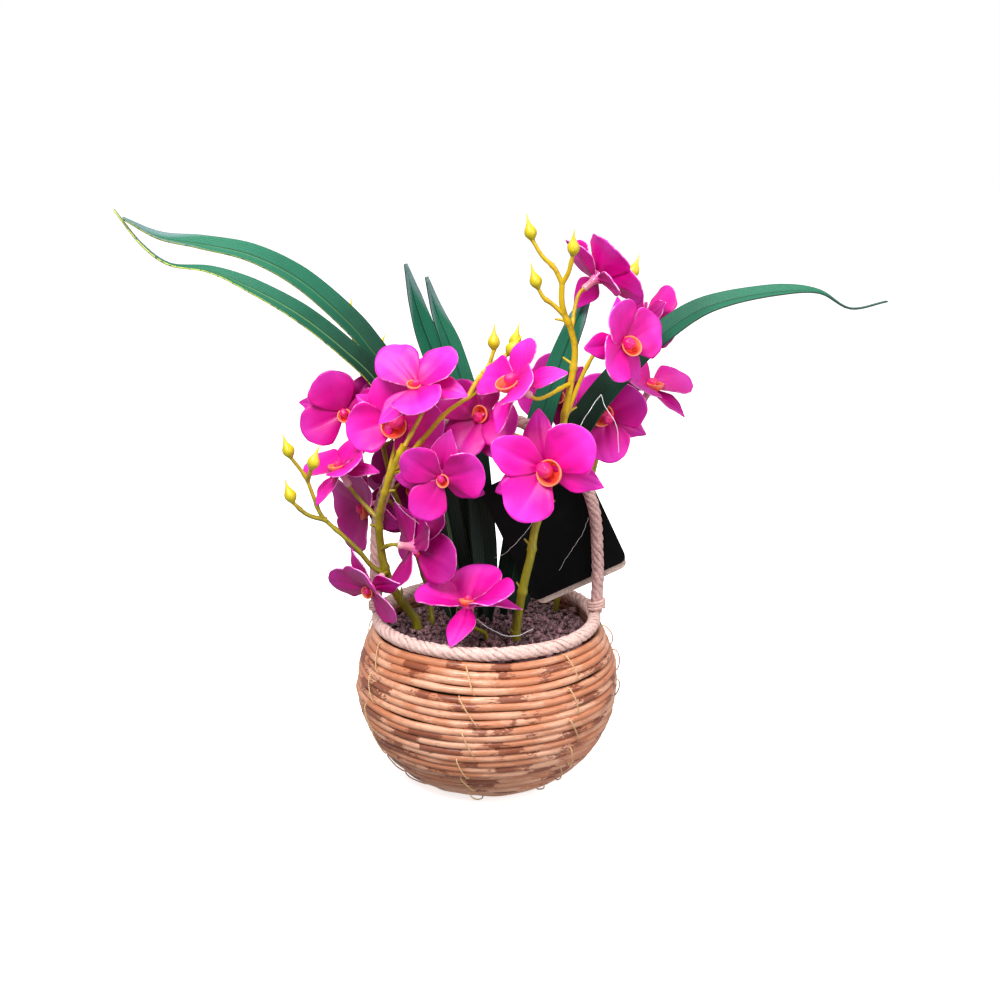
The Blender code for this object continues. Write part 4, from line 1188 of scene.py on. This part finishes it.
# ---- stage ------------------------------------------------------------------------------------------
def add_light(name, place, target, size, watts):
    """A square soft light that looks at a point; places in metres."""
    light = bpy.data.lights.new(name, "AREA")
    light.size = size
    light.energy = watts
    lamp = bpy.data.objects.new(name, light)
    lamp.location = place
    lamp.rotation_euler = (Vector(target) - Vector(place)).to_track_quat("-Z", "Y").to_euler()
    bpy.context.scene.collection.objects.link(lamp)


def make_stage(settings):
    scene = bpy.context.scene
    bm = new_shape()
    bmesh.ops.create_grid(bm, x_segments=1, y_segments=1, size=settings.floor_size / 2)
    mesh = bpy.data.meshes.new("floor")
    bm.to_mesh(mesh)
    bm.free()
    mesh.materials.append(floor_look())
    floor = bpy.data.objects.new("floor", mesh)
    scene.collection.objects.link(floor)
    floor.visible_diffuse = False
    floor.visible_glossy = False

    lo, hi = CAD_BOX
    centre = (lo + hi) / 2
    add_light("key", centre + Vector((-0.30, -0.70, 0.85)), centre, 0.45, settings.key_watts)
    add_light("fill", centre + Vector((0.8, -0.55, 0.25)), centre, 0.8, settings.key_watts * 0.36)
    add_light("top", centre + Vector((0.0, 0.15, 1.0)), centre, 0.8, settings.key_watts * 0.45)

    world = bpy.data.worlds.new("studio")
    world.use_nodes = True
    background = world.node_tree.nodes["Background"]
    background.inputs["Color"].default_value = (1.0, 1.0, 1.0, 1.0)
    seen = world.node_tree.nodes.new("ShaderNodeLightPath")
    level = world.node_tree.nodes.new("ShaderNodeMapRange")
    level.inputs["To Min"].default_value = settings.ambient
    world.node_tree.links.new(seen.outputs["Is Camera Ray"], level.inputs["Value"])
    world.node_tree.links.new(level.outputs["Result"], background.inputs["Strength"])
    scene.world = world
    scene.view_settings.view_transform = "Standard"

    lens = bpy.data.cameras.new("camera")
    lens.lens = settings.lens
    camera = bpy.data.objects.new("camera", lens)
    camera.location = (0.007, -0.866, 0.3991)
    camera.rotation_euler = (math.pi / 2 - settings.look_down, 0.0, 0.0)
    scene.collection.objects.link(camera)
    scene.camera = camera


# ---- settings, operators and panel ------------------------------------------------------------------
def length(name, description, default):
    """A length setting, in metres."""
    return FloatProperty(name=name, description=description, default=default, min=0.0, precision=5,
                         subtype="DISTANCE", unit="LENGTH")


class BasketSettings(bpy.types.PropertyGroup):
    strand_radius: length("Strand radius", "Radius of one strand of rattan", 0.00196)
    stray: length("Stray", "How far a strand may wander from its place", 0.0011)
    yarn_radius: length("Yarn radius", "Radius of the lashing yarn", 0.00036)
    rim_radius: length("Rim radius", "Radius of the twisted cord at the mouth", 0.0034)
    handle_radius: length("Handle radius", "Radius of the twisted cord of the handle", 0.0032)
    handle_pitch: length("Handle pitch", "Distance between folds along the handle", 0.0046)
    rim_twists: IntProperty(name="Rim twists", description="Folds round the rim", default=40, min=4)


class SoilSettings(bpy.types.PropertyGroup):
    granules: IntProperty(name="Granules", description="How many granules lie on the bed", default=1300, min=1)
    granule_low: length("Smallest granule", "Radius of the smallest granules", 0.0009)
    granule_high: length("Largest granule", "Radius of the largest granules", 0.0021)


class FlowerSettings(bpy.types.PropertyGroup):
    petal_length: length("Petal length", "From the hub to the tip of a broad petal", 0.0285)
    petal_width: length("Petal width", "Across a broad petal", 0.0290)
    sepal_length: length("Sepal length", "From the hub to the tip of a sepal", 0.029)
    sepal_width: length("Sepal width", "Across a sepal", 0.0155)
    petal_thickness: length("Petal thickness", "Thickness of petals, sepals and lip", 0.0006)
    thread_radius: length("Thread radius", "Radius of the strings of glue", 0.00017)


class PlantSettings(bpy.types.PropertyGroup):
    node_gap: length("Node gap", "Distance between the nodes of a stem", 0.024)
    slimness: FloatProperty(name="Slimness", description="Stem radius against the solid one", default=0.86,
                            min=0.1)
    leaf_thickness: length("Leaf thickness", "Thickness of the leaf cloth", 0.0007)
    leaf_fold: FloatProperty(name="Leaf fold", description="Depth of the fold against half the width",
                             default=0.30, min=0.0)


class StageSettings(bpy.types.PropertyGroup):
    floor_size: length("Floor size", "Side of the square floor", 6.0)
    key_watts: FloatProperty(name="Key light", description="Power of the largest light", default=15.0,
                             subtype="POWER", unit="POWER")
    ambient: FloatProperty(name="Ambient", description="Strength of the even light all round", default=0.42)
    lens: FloatProperty(name="Lens", description="Focal length", default=62.0, subtype="DISTANCE_CAMERA",
                        unit="CAMERA")
    look_down: FloatProperty(name="Look down", description="Angle of the camera below level",
                             default=math.radians(15.8), subtype="ANGLE", unit="ROTATION")


class OrchidOperator(bpy.types.Operator):
    """Base of the operators that build the arrangement"""
    bl_options = {"REGISTER", "UNDO"}

    def execute(self, context):
        self.build(context.scene)
        return {"FINISHED"}


class ORCHID_OT_stage(OrchidOperator):
    """Build the floor, the lights and the camera"""
    bl_idname = "orchid.stage"
    bl_label = "Stage"

    def build(self, scene):
        make_stage(scene.orchid_stage)


class ORCHID_OT_basket(OrchidOperator):
    """Build the strands, the coiled base and the lashings"""
    bl_idname = "orchid.basket"
    bl_label = "Basket"

    def build(self, scene):
        make_strands(scene.orchid_basket)
        make_base(scene.orchid_basket)
        make_lashings(scene.orchid_basket)


class ORCHID_OT_cords(OrchidOperator):
    """Build the rim, the handle and its bindings"""
    bl_idname = "orchid.cords"
    bl_label = "Rim and handle"

    def build(self, scene):
        make_rim(scene.orchid_basket)
        make_handle(scene.orchid_basket)
        make_bindings(scene.orchid_basket)


class ORCHID_OT_soil(OrchidOperator):
    """Build the bed of granules"""
    bl_idname = "orchid.soil"
    bl_label = "Soil"

    def build(self, scene):
        make_soil(scene.orchid_soil)


class ORCHID_OT_stems(OrchidOperator):
    """Build the stems with their twigs, stalks and buds"""
    bl_idname = "orchid.stems"
    bl_label = "Stems and buds"

    def build(self, scene):
        make_stems(scene.orchid_plant)


class ORCHID_OT_leaves(OrchidOperator):
    """Build the strap leaves"""
    bl_idname = "orchid.leaves"
    bl_label = "Leaves"

    def build(self, scene):
        make_leaves(scene.orchid_plant)


class ORCHID_OT_flowers(OrchidOperator):
    """Build the flowers and the strings of glue between them"""
    bl_idname = "orchid.flowers"
    bl_label = "Flowers"

    def build(self, scene):
        make_flowers(scene.orchid_flower)
        make_threads(scene.orchid_flower)


class ORCHID_OT_frame(OrchidOperator):
    """Finish the CAD nodes that stay in view"""
    bl_idname = "orchid.frame"
    bl_label = "Card and foam"

    def build(self, scene):
        finish_frame()


OPERATORS = (ORCHID_OT_stage, ORCHID_OT_basket, ORCHID_OT_cords, ORCHID_OT_soil, ORCHID_OT_stems,
             ORCHID_OT_leaves, ORCHID_OT_flowers, ORCHID_OT_frame)
SETTINGS = {"orchid_basket": BasketSettings, "orchid_soil": SoilSettings, "orchid_flower": FlowerSettings,
            "orchid_plant": PlantSettings, "orchid_stage": StageSettings}


class ORCHID_PT_panel(bpy.types.Panel):
    """The pieces of the arrangement, in the order they are built"""
    bl_label = "Potted orchid"
    bl_idname = "ORCHID_PT_panel"
    bl_space_type = "VIEW_3D"
    bl_region_type = "UI"
    bl_category = "Orchid"

    def draw(self, context):
        for operator in OPERATORS:
            self.layout.operator(operator.bl_idname)
        for group, kind in SETTINGS.items():
            for setting in kind.__annotations__:
                self.layout.prop(getattr(context.scene, group), setting)


def register():
    for kind in (*SETTINGS.values(), *OPERATORS, ORCHID_PT_panel):
        bpy.utils.register_class(kind)
    for group, kind in SETTINGS.items():
        setattr(bpy.types.Scene, group, PointerProperty(type=kind))


def unregister():
    for group in SETTINGS:
        delattr(bpy.types.Scene, group)
    for kind in (ORCHID_PT_panel, *reversed(OPERATORS), *reversed(SETTINGS.values())):
        bpy.utils.unregister_class(kind)


def main():
    register()
    for operator in OPERATORS:
        family, name = operator.bl_idname.split(".")
        getattr(getattr(bpy.ops, family), name)()


if __name__ == "__main__":
    main()
